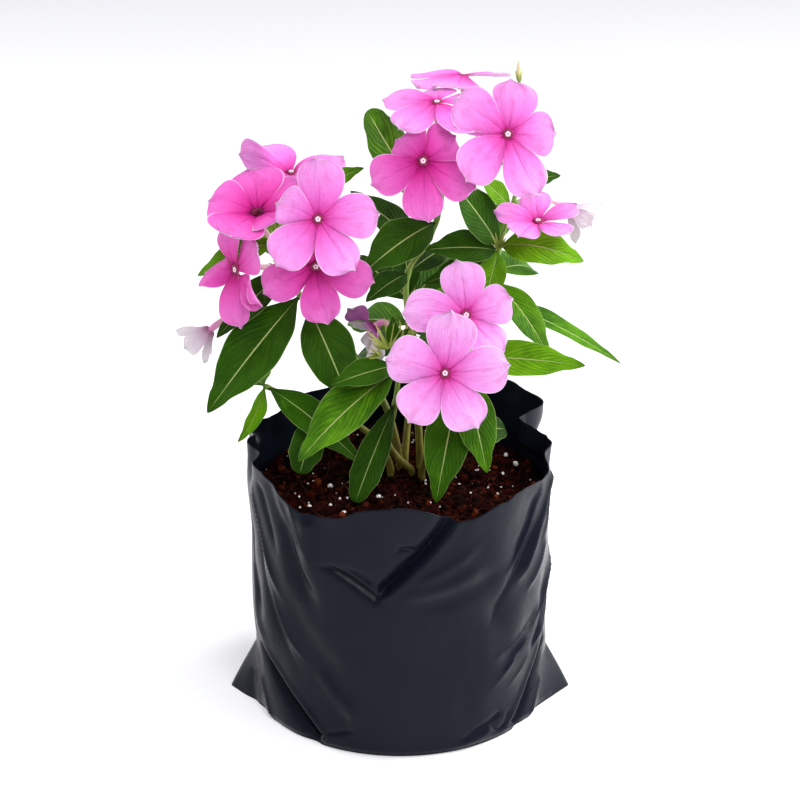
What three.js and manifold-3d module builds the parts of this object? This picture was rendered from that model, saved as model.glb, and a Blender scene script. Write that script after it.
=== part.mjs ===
// Madagascar periwinkle in a soft black film grow bag.
// Millimetres, +Z up. The origin is on the ground under the middle of the bag, and the front looks to -Y.

import * as THREE from 'three';
import { LoftGeometry } from 'three/addons/geometries/LoftGeometry.js';
import { mergeVertices } from 'three/addons/utils/BufferGeometryUtils.js';
import Module from 'manifold-3d';

const wasm = await Module();
wasm.setup();

// The bag: a flat film tube with a bottom seam, filled round, its lower corners left as flat ears.
const BAG_SEGMENTS = 48;
const BAG_WALL = 1.0;
const BAG_FLOOR = 1.0;
const BAG_HEEL = 3;
const BAG_PROFILE = [[0, 60.6], [3, 61.8], [22, 61.2], [60, 62.4], [95, 63.2], [125, 64.2]];
const BAG_OUTER_ROWS = [0, 3, 11, 20, 30, 43, 57, 70, 83, 95];
const BAG_INNER_ROWS = [20, 30, 43, 57, 70, 83, 95];
const BAG_RIM_SHARES = [0.5, 1];
const BAG_RIM_START = 95;
const RIM_HEIGHTS = [
  [-169, 112.7], [-155, 114.5], [-142, 110], [-128, 106.3], [-114, 108], [-104, 112.7], [-96, 114.5],
  [-86, 115], [-79, 112.3], [-69, 107], [-59, 108.4], [-48, 110.4], [-38, 111.5], [-18, 110], [-6, 115],
  [6, 117.5], [23, 119.6], [43, 123.3], [60, 120], [90, 116], [120, 115.5], [136, 116], [150, 112.5],
  [165, 113.5], [178, 114.2],
];
const EAR_REACH = 73;
const EAR_HEIGHT = 23;
const EAR_ANGLE = 46;
const EAR_HOLLOW = 1.2;

// Creases pressed into the film, each a line from one [degrees, height] to another.
const BAG_FOLDS = [
  { from: [-99, 76], to: [-70, 108], depth: 2.6, width: 5 },
  { from: [-99, 76], to: [-121, 88], depth: 2.2, width: 4 },
  { from: [-150, 117], to: [-118, 54], depth: 1.2, width: 6 },
  { from: [-46, 96], to: [-20, 46], depth: 1.4, width: 6 },
  { from: [-58, 52], to: [-32, 12], depth: 1.4, width: 6 },
  { from: [180, 24], to: [-136, 0], depth: 1.6, width: 4 },
  { from: [0, 24], to: [-44, 0], depth: 1.6, width: 4 },
  { from: [180, 24], to: [136, 0], depth: 1.6, width: 4 },
  { from: [0, 24], to: [44, 0], depth: 1.6, width: 4 },
  { from: [14, 122], to: [11, 100], depth: 6, width: 6 },
  { from: [-9, 118], to: [-11, 104], depth: 3, width: 5 },
  { from: [175, 116], to: [173, 101], depth: 4, width: 5 },
  { from: [60, 112], to: [85, 40], depth: 1.6, width: 7 },
  { from: [128, 110], to: [104, 30], depth: 1.6, width: 7 },
];

// The soil: filled to the wall's foot of the free rim, and mounded a little round the plant.
const SOIL_GAP = 0.98;
const SOIL_MOUND = 6;
const SOIL_RINGS = [0.86, 0.7, 0.53, 0.36, 0.18];
const SOIL_LUMP = 0.9;
const SOIL_WAVE = [6.1, 5.3];
const SOIL_RIPPLE = [2.9, 3.7];
const SOIL_RIPPLE_SHARE = 0.6;
const HOLE_GAP = 0.4;
const HOLE_SIDES = 8;

// Green pieces.
const STEM_SIDES = 5;
const STEM_FOOT_RADIUS = 1.9;
const STEM_TIP_RADIUS = 0.9;
const STEM_FOOT_HEIGHT = 70;
const STEM_NECK_HEIGHT = 103;
const TWIG_RADIUS = 0.75;
const LEAF_THICKNESS = 0.75;
const LEAF_FACE = [0, -0.6, 0.8];
const POINTED_LEAF = [[0.1, 0.28], [0.28, 0.8], [0.47, 1], [0.7, 0.8], [0.89, 0.36]];
const BLUNT_LEAF = [[0.1, 0.24], [0.28, 0.62], [0.52, 0.95], [0.76, 1], [0.92, 0.66]];
const BROAD_LEAF = 14;
const LEAF_BEND = 0.45;
const LEAF_FOLD = 0.16;
const LEAF_WAVE = 0.07;
const LEAF_WAVES_ALONG = 11;
const LEAF_WAVES_ACROSS = 2.2;
const BUD_RINGS = [[0.3, 1.5], [0.6, 1.6], [1, 0.4]];

// Blooms: a slender tube that opens at a shallow throat into five petals. Each petal widens to a blunt end
// with a small point set to one side, and is turned a little about its own length, as in a pinwheel.
const PETAL_COUNT = 5;
const PETAL_THICKNESS = 0.75;
const PETAL_WIDTH = 0.78;
const PETAL_TWIST = 0.12;
const PETAL_FOLD = 0.06;
const PETAL_EASE = 0.35;
const PETAL_OUTLINE = [[0.38, 0.77], [0.66, 1], [0.88, 0.8]];
const PETAL_POINT = 0.2;
const THROAT_RADIUS = 2.7;
const THROAT_DEPTH = 1;
const TUBE_LENGTH = 24;
const TUBE_RADIUS = 1.15;
const TUBE_MOUTH_RADIUS = 1.5;
const TUBE_END_DEPTH = 0.7;
const TUBE_RINGS = [0, 0.3, 0.6, 0.85];
const CALYX_RADIUS = 1.8;
const CALYX_LENGTH = 2.6;
const CALYX_GAP = 0.35;
const STALK_BEND = 0.55;
const STALK_SHARE = 0.16;

// Leafy stems, each rising from the soil in a hole of its own. A leaf starts on the stem at the point
// nearest to its root. arch lifts the middle of the leaf, and roll turns it about its midrib in degrees.
const STEMS = [
  {
    name: 'leafy_stem_left',
    foot: [0, 4],
    path: [[-5, 8, 125], [-18, 7, 150], [-30, 4, 166], [-39.5, 0, 178.6], [-47, 2, 194], [-49.4, 2, 205]],
    twigs: [
      [[-49, 2, 203], [-43, 6, 213], [-34, 8, 222]],
    ],
    leaves: [
      { root: [-41, 0, 180], tip: [-78, -26, 139.8], width: 24, arch: 5, roll: 0 },
      { root: [-37, 1, 176], tip: [-20.4, -17, 140], width: 22, arch: 5, roll: 0 },
      { root: [-47, 2, 192], tip: [-74, -18, 169.4], width: 14, arch: 4, roll: 0 },
      { root: [-49, 2, 204], tip: [-82, -3, 190.3], width: 13, arch: 6, roll: 0 },
      { root: [-34, 8, 222], tip: [-14.5, 4, 234.2], width: 9, arch: 3, roll: 0 },
      { root: [-47, 2, 194], tip: [-62, 40, 207], width: 17, arch: 5, roll: 0 },
      { root: [-40, 0, 180], tip: [-54, 38, 166], width: 19, arch: 6, roll: 0 },
      { root: [-47, 2, 193], tip: [-26, 30, 204], width: 15, arch: 4, roll: 0 },
    ],
    buds: [],
  },
  {
    name: 'leafy_stem_low_left',
    foot: [-4, 0],
    path: [[-8, 0, 113], [-20, 1, 124], [-33, 1, 129.5], [-46, 3, 134.5], [-56, 4, 138.6]],
    twigs: [],
    leaves: [
      { root: [-55, 4, 138.4], tip: [-15.5, -20, 114], width: 15, arch: 9, roll: 0 },
      { root: [-56, 4, 138.6], tip: [-66.7, -12, 120.4], width: 10, arch: 4, roll: -50 },
      { root: [-33, 1, 129.5], tip: [-41, -24, 111.5], width: 14, arch: 5, roll: 0, blunt: true },
      { root: [-56, 4, 138.6], tip: [-66, 34, 128], width: 17, arch: 5, roll: 0 },
      { root: [-20, 1, 124], tip: [-30, 36, 118], width: 16, arch: 6, roll: 0, blunt: true },
    ],
    buds: [],
  },
  {
    name: 'leafy_stem_front',
    foot: [4.6, -2],
    path: [[0, -3, 108], [-5, -4, 116.7], [-2.5, -8, 132.6], [-0.8, -14, 153.6], [-3, -12, 163]],
    twigs: [],
    leaves: [
      { root: [-0.8, -14, 153], tip: [-41, -40, 124.5], width: 22, arch: 8, roll: 10 },
      { root: [-1, -14, 156], tip: [-28, -31, 154], width: 13, arch: 3, roll: 0 },
      { root: [-2, -9, 137], tip: [-18.2, -34, 103.5], width: 13, arch: 5, roll: 0, blunt: true },
      { root: [-3, -12, 162], tip: [-2.9, -10, 175.5], width: 6, arch: 1, roll: 0 },
      { root: [-3, -12, 162], tip: [3.5, -12, 171], width: 5, arch: 1, roll: 0 },
    ],
    buds: [],
  },
  {
    name: 'leafy_stem_centre',
    foot: [8.5, 4],
    path: [[7, 7, 130], [4, 8, 160], [3.3, 4, 189.3], [12.2, 4, 204.1], [16.9, 4, 222.6], [16, 6, 234]],
    twigs: [],
    leaves: [
      { root: [15, 4, 214], tip: [-13, 4, 258.5], width: 18, arch: -6, roll: 0, blunt: true },
      { root: [8, 4, 200], tip: [-20, 2, 225], width: 14, arch: 3, roll: 0 },
      { root: [14, 4, 212], tip: [-15, -19, 197.5], width: 20, arch: 7, roll: 0 },
      { root: [3.3, 4, 189], tip: [-13.7, -15, 183.9], width: 12, arch: 4, roll: 0 },
      { root: [3.5, 4, 189], tip: [20, 30, 190], width: 14, arch: 4, roll: 0 },
      { root: [4, 7, 165], tip: [-22, 34, 154], width: 17, arch: 6, roll: 0 },
      { root: [5, 7, 162], tip: [22, 36, 144], width: 18, arch: 6, roll: 0 },
      { root: [16, 4, 220], tip: [2, 34, 222], width: 15, arch: 5, roll: 0, blunt: true },
    ],
    buds: [],
  },
  {
    name: 'leafy_stem_right',
    foot: [13, 1],
    path: [[20, 3, 130], [30, 3, 160], [37.8, 1, 185.2], [40.2, 4, 200.3], [46, 9, 218], [48, 12, 228]],
    twigs: [],
    leaves: [
      { root: [40.2, 4, 201], tip: [20.8, -6, 232], width: 18, arch: 2, roll: 0 },
      { root: [40.2, 4, 201], tip: [74, -8, 198.5], width: 17, arch: 13, roll: 8 },
      { root: [40, 4, 199], tip: [10, -13, 205.5], width: 15, arch: 5, roll: -8 },
      { root: [39, 3, 194], tip: [9.5, -7, 188.5], width: 13, arch: 3, roll: 0 },
      { root: [39.5, 4, 198], tip: [33.5, -17, 180], width: 12, arch: 5, roll: 0 },
      { root: [38, 1, 187], tip: [60, -24, 164], width: 14, arch: 7, roll: -10 },
      { root: [36, 1, 180], tip: [90, -8, 154], width: 13, arch: 5, roll: -28 },
      { root: [45, 8, 215], tip: [31, 2, 231], width: 10, arch: 2, roll: 0 },
      { root: [47, 11, 225], tip: [65, 12, 228], width: 9, arch: 3, roll: 0 },
      { root: [38.5, 2, 190], tip: [56, 34, 178], width: 19, arch: 6, roll: 0 },
      { root: [40.2, 4, 200], tip: [34, 42, 206], width: 18, arch: 5, roll: 0 },
      { root: [34, 2, 174], tip: [16, 34, 170], width: 15, arch: 5, roll: 0 },
    ],
    buds: [
      { root: [48, 12, 227], tip: [47.5, 20, 274], length: 8 },
    ],
  },
  {
    name: 'leafy_stem_front_right',
    foot: [9, -4],
    path: [[14, -7, 120], [22, -14, 142], [28.3, -18, 160.6], [27, -18, 168]],
    twigs: [],
    leaves: [
      { root: [28.3, -18, 161], tip: [74, -36, 165], width: 15, arch: 7, roll: 20 },
      { root: [23, -15, 148], tip: [14.5, -46, 109], width: 19, arch: 6, roll: 0 },
      { root: [25, -16, 152], tip: [35, -44, 121.5], width: 17, arch: 6, roll: 0 },
      { root: [14, -7, 121], tip: [44, 6, 118], width: 15, arch: 6, roll: 0, blunt: true },
    ],
    buds: [],
  },
  {
    name: 'leafy_stem_back',
    foot: [2, 10],
    path: [[4, 18, 125], [6, 28, 148], [4, 32, 166]],
    twigs: [],
    leaves: [
      { root: [5, 28, 146], tip: [-18, 56, 130], width: 19, arch: 6, roll: 0 },
      { root: [6, 28, 148], tip: [34, 56, 132], width: 20, arch: 6, roll: 0 },
      { root: [4, 32, 165], tip: [-20, 56, 176], width: 17, arch: 5, roll: 0 },
      { root: [4, 32, 165], tip: [27, 58, 178], width: 17, arch: 5, roll: 0 },
      { root: [4, 19, 127], tip: [30, 42, 114], width: 16, arch: 6, roll: 0, blunt: true },
      { root: [4, 32, 166], tip: [1, 50, 192], width: 12, arch: 3, roll: 0 },
    ],
    buds: [],
  },
];

// Blooms. facing is [degrees to the right of the front, degrees up], and the stalk leaves its stem near
// root. turns are the petals' directions in degrees to the left of upright, reach is each petal's length
// as a share of the radius, and cup lifts the petals in degrees.
const EVEN = [1, 1, 1, 1, 1];
const BLOOMS = [
  { name: 'bloom_left_front', stem: 'leafy_stem_left', root: [-49, 2, 203], centre: [-32.3, -28, 224.4],
    facing: [12, 20], radius: 24, cup: 3, turns: [-6, 60, 130, 208, 266],
    reach: [1, 0.68, 1, 1, 1], shade: 0 },
  { name: 'bloom_left_funnel', stem: 'leafy_stem_left', root: [-49, 2, 204], centre: [-56.9, -12, 221.6],
    facing: [-24, 60], radius: 22, cup: 35, turns: [-20, 34, 92, 160, 230],
    reach: [1, 1, 1, 0.8, 0.8], breadth: 0.56, shade: 0 },
  { name: 'bloom_left_top', stem: 'leafy_stem_left', root: [-46, 4, 208], centre: [-44, 13, 229.5],
    facing: [0, 82], radius: 24, cup: 7, turns: [8, 62, 130, 210, 296],
    reach: [1, 1.1, 0.9, 0.9, 1], shade: 0 },
  { name: 'bloom_left_under', stem: 'leafy_stem_left', root: [-44, 1, 186], centre: [-33.5, -22, 199.5],
    facing: [4, 4], radius: 22, cup: 6, turns: [40, 113, 187, 250, 320], reach: [0.85, 1, 1, 1.02, 0.85],
    shade: 1 },
  { name: 'bloom_left_side', stem: 'leafy_stem_left', root: [-47, 2, 192], centre: [-65.7, -23, 201],
    facing: [-50, 8], radius: 22, cup: 6, turns: [20, 98, 180, 236, 312], reach: [0.8, 0.95, 1.05, 1, 0.85],
    breadth: 0.62, shade: 1 },
  { name: 'bloom_left_low', stem: 'leafy_stem_left', root: [-44, 1, 186], centre: [-79, -4, 165.5],
    facing: [-92, -44], radius: 16, cup: 62, turns: [0, 72, 144, 216, 288], reach: EVEN, breadth: 0.56,
    shade: 2 },
  { name: 'bloom_right_front', stem: 'leafy_stem_right', root: [48, 12, 227], centre: [42.2, -22, 257.6],
    facing: [12, 20], radius: 24.5, cup: 3, turns: [-12, 50, 132, 202, 258],
    reach: [0.95, 1.05, 1, 1.08, 0.76], shade: 0 },
  { name: 'bloom_right_back', stem: 'leafy_stem_right', root: [48, 12, 228], centre: [25.5, 27, 266],
    facing: [180, 76], radius: 22, cup: 5, turns: [10, 82, 154, 226, 298], reach: EVEN, shade: 0 },
  { name: 'bloom_right_side', stem: 'leafy_stem_right', root: [46, 9, 218], centre: [55.2, -9, 216.8],
    facing: [0, 78], radius: 17.5, cup: 15, turns: [4, 76, 148, 220, 292], reach: EVEN, shade: 0 },
  { name: 'bloom_right_faded', stem: 'leafy_stem_right', root: [46, 9, 217], centre: [71, 22, 208.5],
    facing: [92, -38], radius: 16, cup: 58, turns: [0, 72, 144, 216, 288], reach: EVEN, breadth: 0.56,
    shade: 2 },
  { name: 'bloom_centre_top', stem: 'leafy_stem_centre', root: [16, 6, 233], centre: [14.6, -3, 264.6],
    facing: [-6, 80], radius: 22, cup: -10, turns: [2, 74, 146, 218, 290], reach: EVEN, shade: 0 },
  { name: 'bloom_centre_front', stem: 'leafy_stem_centre', root: [16.5, 5, 228], centre: [9.1, -20, 245.8],
    facing: [-6, 24], radius: 23, cup: 4, turns: [48, 113, 180, 238, 300],
    reach: [0.56, 0.9, 1.02, 1.05, 0.6], shade: 1 },
  { name: 'bloom_low_front', stem: 'leafy_stem_front_right', root: [27, -18, 168], centre: [17.8, -48, 167],
    facing: [-2, 24], radius: 25, cup: 3, turns: [-9, 73, 140, 208, 274], reach: EVEN, shade: 0 },
  { name: 'bloom_low_back', stem: 'leafy_stem_front_right', root: [27, -18, 168], centre: [26.4, -29, 184],
    facing: [12, 20], radius: 22.5, cup: 3, turns: [2, 80, 150, 218, 280],
    reach: [0.95, 1.12, 0.9, 0.92, 0.85], shade: 0 },
  { name: 'bloom_wilted', stem: 'leafy_stem_front', root: [-3, -12, 162], centre: [-11, 3, 165],
    facing: [-78, -42], radius: 14, cup: 56, turns: [0, 72, 144, 216, 288], reach: EVEN, breadth: 0.56,
    shade: 2 },
];

const LOOKS = {
  bag: { color: 0x25272e, roughness: 0.42, metalness: 0 },
  soil: { color: 0x2a1510, roughness: 0.95, metalness: 0 },
  leaf: { color: 0x3f7a1e, roughness: 0.5, metalness: 0 },
  petal: { roughness: 0.6, metalness: 0 },
};
const SHADES = [0xf27fe0, 0xdb56b4, 0xcdb2dc];

function vector(list) {
  return new THREE.Vector3(list[0], list[1], list[2]);
}

function radians(degrees) {
  return THREE.MathUtils.degToRad(degrees);
}

// Straight-line reading of a list of [position, value] pairs.
function valueAt(list, position) {
  for (let i = 1; i < list.length; i += 1) {
    const [x0, v0] = list[i - 1];
    const [x1, v1] = list[i];
    const share = THREE.MathUtils.clamp((position - x0) / (x1 - x0), 0, 1);
    if (position <= x1) return THREE.MathUtils.lerp(v0, v1, share);
  }
  return list[list.length - 1][1];
}

// Solids and booleans.
function toSolid(geometry) {
  const bare = new THREE.BufferGeometry();
  bare.setAttribute('position', geometry.getAttribute('position').clone());
  bare.setIndex(geometry.getIndex().clone());
  const merged = mergeVertices(bare);
  const corners = Array.from(merged.getIndex().array);
  const triangles = [];
  for (let i = 0; i < corners.length; i += 3) {
    const [a, b, c] = corners.slice(i, i + 3);
    if (a !== b && b !== c && c !== a) triangles.push(a, b, c);
  }
  const mesh = new wasm.Mesh({
    numProp: 3,
    vertProperties: new Float32Array(merged.getAttribute('position').array),
    triVerts: new Uint32Array(triangles),
  });
  return new wasm.Manifold(mesh);
}

function toGeometry(solid) {
  const mesh = solid.getMesh();
  const geometry = new THREE.BufferGeometry();
  geometry.setAttribute('position', new THREE.BufferAttribute(new Float32Array(mesh.vertProperties), 3));
  geometry.setIndex(new THREE.BufferAttribute(new Uint32Array(mesh.triVerts), 1));
  geometry.computeVertexNormals();
  return geometry;
}

function joined(geometries) {
  return geometries.map(toSolid).reduce((whole, piece) => whole.add(piece));
}

// A round bar along a curve, from a list of [share of its length, radius] pairs.
function bar(curve, rings, sides = STEM_SIDES) {
  const tangents = [0, 0.5, 1].map((share) => curve.getTangentAt(share));
  const leaning = (axis) => Math.max(...tangents.map((tangent) => Math.abs(tangent.dot(axis))));
  const axes = [new THREE.Vector3(1, 0, 0), new THREE.Vector3(0, 1, 0), new THREE.Vector3(0, 0, 1)];
  const reference = axes.sort((one, other) => leaning(one) - leaning(other))[0];
  const sections = rings.map(([share, radius]) => {
    const middle = curve.getPointAt(share);
    const tangent = curve.getTangentAt(share);
    const first = reference.clone().addScaledVector(tangent, -reference.dot(tangent)).normalize();
    const second = tangent.clone().cross(first);
    const section = [];
    for (let k = 0; k < sides; k += 1) {
      const turn = (k / sides) * 2 * Math.PI;
      section.push(middle.clone()
        .addScaledVector(first, radius * Math.cos(turn))
        .addScaledVector(second, radius * Math.sin(turn)));
    }
    return section;
  });
  return new LoftGeometry(sections, { capStart: true, capEnd: true });
}

function evenRings(steps, radiusAt) {
  return Array.from({ length: steps + 1 }, (_, i) => [i / steps, radiusAt(i / steps)]);
}

// A thin closed sheet. Each spot is a point with the direction up from it, faces and edge are lists of spots
// that run counterclockwise seen from above, and both sides are split into triangles alike.
function sheet(spots, faces, edge, thickness) {
  const positions = [];
  const index = [];
  for (const spot of spots) {
    for (const side of [1, -1]) {
      const shifted = spot.point.clone().addScaledVector(spot.up, (side * thickness) / 2);
      positions.push(shifted.x, shifted.y, shifted.z);
    }
  }
  for (const [a, b, c] of faces) index.push(2 * a, 2 * b, 2 * c, 2 * a + 1, 2 * c + 1, 2 * b + 1);
  edge.forEach((from, i) => {
    const to = edge[(i + 1) % edge.length];
    index.push(2 * from, 2 * from + 1, 2 * to + 1, 2 * from, 2 * to + 1, 2 * to);
  });
  const geometry = new THREE.BufferGeometry();
  geometry.setAttribute('position', new THREE.Float32BufferAttribute(positions, 3));
  geometry.setIndex(index);
  return geometry;
}

// Angles round the bag are in degrees from its right-hand side.
function nearestTurn(angle, reference) {
  return reference + ((((angle - reference) % 360) + 540) % 360) - 180;
}

function rimHeight(angle) {
  const first = RIM_HEIGHTS[0];
  const turned = nearestTurn(angle, first[0] + 180);
  return valueAt([...RIM_HEIGHTS, [first[0] + 360, first[1]]], turned);
}

function foldDepth(angle, height) {
  let depth = 0;
  for (const fold of BAG_FOLDS) {
    const arc = radians(1) * BAG_PROFILE[3][1];
    const start = new THREE.Vector2(fold.from[0] * arc, fold.from[1]);
    const end = new THREE.Vector2(nearestTurn(fold.to[0], fold.from[0]) * arc, fold.to[1]);
    const point = new THREE.Vector2(nearestTurn(angle, fold.from[0]) * arc, height);
    const run = end.clone().sub(start);
    const share = THREE.MathUtils.clamp(point.clone().sub(start).dot(run) / run.lengthSq(), 0, 1);
    const distance = point.distanceTo(start.addScaledVector(run, share));
    depth += fold.depth * Math.exp(-((distance / fold.width) ** 2));
  }
  return depth;
}

function bodyRadius(angle, height) {
  return valueAt(BAG_PROFILE, height) - foldDepth(angle, height);
}

// The flat corner at each side of the bottom seam, a little hollow between its tip and the round body.
function earRadius(angle, height) {
  const share = 1 - height / EAR_HEIGHT;
  const aside = Math.abs(angle) > 90 ? 180 - Math.abs(angle) : Math.abs(angle);
  const spread = EAR_ANGLE * share;
  if (share <= 0 || aside >= spread) return 0;
  const body = valueAt(BAG_PROFILE, height);
  const tip = THREE.MathUtils.lerp(body, EAR_REACH, share);
  const foot = new THREE.Vector2(Math.cos(radians(spread)), Math.sin(radians(spread))).multiplyScalar(body);
  const slope = foot.y / (tip - foot.x);
  const straight = (slope * tip) / (Math.sin(radians(aside)) + slope * Math.cos(radians(aside)));
  return straight - EAR_HOLLOW * Math.sin((aside / spread) * Math.PI) * share;
}

function around(angle, radius, height) {
  return new THREE.Vector3(radius * Math.cos(radians(angle)), radius * Math.sin(radians(angle)), height);
}

// A closed body made of sections at equal turns about the axis. Each section starts and ends on the axis.
function turnedBody(sectionAt) {
  const sections = [];
  for (let k = 0; k <= BAG_SEGMENTS; k += 1) {
    sections.push(sectionAt(-180 + ((k % BAG_SEGMENTS) * 360) / BAG_SEGMENTS));
  }
  return toSolid(new LoftGeometry(sections));
}

function outerRadius(angle, height) {
  return Math.max(bodyRadius(angle, height), earRadius(angle, height));
}

function innerRadius(angle, height) {
  return bodyRadius(angle, height) - BAG_WALL;
}

function makeBag() {
  return turnedBody((angle) => {
    const rim = rimHeight(angle);
    const rimRows = BAG_RIM_SHARES.map((share) => THREE.MathUtils.lerp(BAG_RIM_START, rim, share));
    const inside = [...BAG_INNER_ROWS, ...rimRows];
    const outside = [...BAG_OUTER_ROWS, ...rimRows].reverse();
    return [
      around(angle, 0, BAG_FLOOR),
      around(angle, innerRadius(angle, BAG_INNER_ROWS[0]) - BAG_HEEL, BAG_FLOOR),
      ...inside.map((height) => around(angle, innerRadius(angle, height), height)),
      ...outside.map((height) => around(angle, outerRadius(angle, height), height)),
      around(angle, 0, 0),
    ];
  });
}

// The soil's surface: a low mound with lumps.
function soilHeight(x, y) {
  const reach = Math.hypot(x, y) / BAG_PROFILE[4][1];
  const wave = Math.sin(x / SOIL_WAVE[0] + 1) * Math.cos(y / SOIL_WAVE[1]);
  const ripple = Math.sin(x / SOIL_RIPPLE[0] - y / SOIL_RIPPLE[1]);
  const lumps = wave + SOIL_RIPPLE_SHARE * ripple;
  return BAG_RIM_START + SOIL_MOUND * (1 - reach * reach) + SOIL_LUMP * lumps * (1 - reach ** 4);
}

function makeSoil(holes) {
  const wall = (angle, height) => innerRadius(angle, height) - SOIL_GAP;
  const soil = turnedBody((angle) => {
    const surface = SOIL_RINGS.map((share) => {
      const point = around(angle, wall(angle, BAG_RIM_START) * share, 0);
      point.z = soilHeight(point.x, point.y);
      return point;
    });
    return [
      around(angle, 0, soilHeight(0, 0)),
      ...surface.reverse(),
      ...[...BAG_INNER_ROWS].reverse().map((height) => around(angle, wall(angle, height), height)),
      around(angle, wall(angle, BAG_INNER_ROWS[0]) - BAG_HEEL, BAG_FLOOR + SOIL_GAP),
      around(angle, 0, BAG_FLOOR + SOIL_GAP),
    ];
  });
  return holes.reduce((rest, hole) => rest.subtract(toSolid(hole)), soil);
}

// Leaves.
function leafBlade(leaf, root) {
  const tip = vector(leaf.tip);
  const reach = tip.clone().sub(root);
  const forward = reach.clone().normalize();
  const face = vector(LEAF_FACE);
  face.addScaledVector(forward, -face.dot(forward)).normalize();
  face.applyAxisAngle(forward, radians(leaf.roll));
  const bend = root.clone().lerp(tip, LEAF_BEND).addScaledVector(face, leaf.arch);
  const midrib = new THREE.QuadraticBezierCurve3(root, bend, tip);
  const columns = leaf.width > BROAD_LEAF ? [-1, -0.5, 0, 0.5, 1] : [-1, 0, 1];

  function rowAt(share, fullness) {
    const middle = midrib.getPoint(share);
    const along = midrib.getTangent(share);
    const side = along.clone().cross(face).normalize();
    const up = side.clone().cross(along).normalize();
    const half = (leaf.width / 2) * fullness;
    const points = columns.map((column) => {
      const phase = share * LEAF_WAVES_ALONG + column * LEAF_WAVES_ACROSS;
      const wave = LEAF_WAVE * Math.sin(phase) * Math.abs(column);
      return middle.clone()
        .addScaledVector(side, column * half)
        .addScaledVector(up, half * (LEAF_FOLD * Math.abs(column) + wave));
    });
    return { points, up };
  }

  const rows = (leaf.blunt ? BLUNT_LEAF : POINTED_LEAF).map(([share, fullness]) => rowAt(share, fullness));
  const last = rows.length - 1;
  const width = columns.length;
  const at = (row, column) => 1 + row * width + column;
  const tipAt = 1 + rows.length * width;
  const spots = [{ point: root, up: rowAt(0, 0).up }];
  for (const row of rows) spots.push(...row.points.map((point) => ({ point, up: row.up })));
  spots.push({ point: tip, up: rowAt(1, 0).up });
  const faces = [];
  for (let j = 0; j < width - 1; j += 1) {
    faces.push([0, at(0, j + 1), at(0, j)]);
    for (let i = 0; i < last; i += 1) {
      faces.push([at(i, j), at(i, j + 1), at(i + 1, j + 1)]);
      faces.push([at(i, j), at(i + 1, j + 1), at(i + 1, j)]);
    }
    faces.push([at(last, j), at(last, j + 1), tipAt]);
  }
  const right = rows.map((row, i) => at(i, width - 1));
  const left = rows.map((row, i) => at(i, 0)).reverse();
  return sheet(spots, faces, [0, ...right, tipAt, ...left], LEAF_THICKNESS);
}

function nearestOnCurve(curve, place) {
  const target = vector(place);
  let best = curve.getPoint(0);
  for (const point of curve.getPoints(60)) {
    if (point.distanceTo(target) < best.distanceTo(target)) best = point;
  }
  return best;
}

// Each bloom's stalk and tube share one curve, from the stem to just behind the petals.
function facingOf(bloom) {
  const [aside, up] = bloom.facing.map(radians);
  return new THREE.Vector3(Math.sin(aside) * Math.cos(up), -Math.cos(aside) * Math.cos(up), Math.sin(up));
}

function stalkCurve(bloom, root) {
  const facing = facingOf(bloom);
  const end = vector(bloom.centre).addScaledVector(facing, -TUBE_END_DEPTH);
  const bend = end.clone().addScaledVector(facing, -STALK_BEND * end.distanceTo(root));
  return new THREE.QuadraticBezierCurve3(root, bend, end);
}

// The green stalk ends in a cup, the calyx, and the tube starts a hair beyond it.
function calyxShare(curve) {
  return Math.max(STALK_SHARE, 1 - TUBE_LENGTH / curve.getLength());
}

function stalkBar(bloom, root) {
  const curve = stalkCurve(bloom, root);
  const top = calyxShare(curve);
  const cup = CALYX_LENGTH / curve.getLength();
  const thin = [0, (top - cup) / 2, top - cup].map((share) => [share, TWIG_RADIUS]);
  return bar(curve, [...thin, [top, CALYX_RADIUS]]);
}

function tubeBar(bloom, root) {
  const curve = stalkCurve(bloom, root);
  const foot = calyxShare(curve) + CALYX_GAP / curve.getLength();
  const shareAt = (part) => THREE.MathUtils.lerp(foot, 1, part);
  const rings = TUBE_RINGS.map((part) => [shareAt(part), TUBE_RADIUS]);
  return bar(curve, [...rings, [1, TUBE_MOUTH_RADIUS]]);
}

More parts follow.
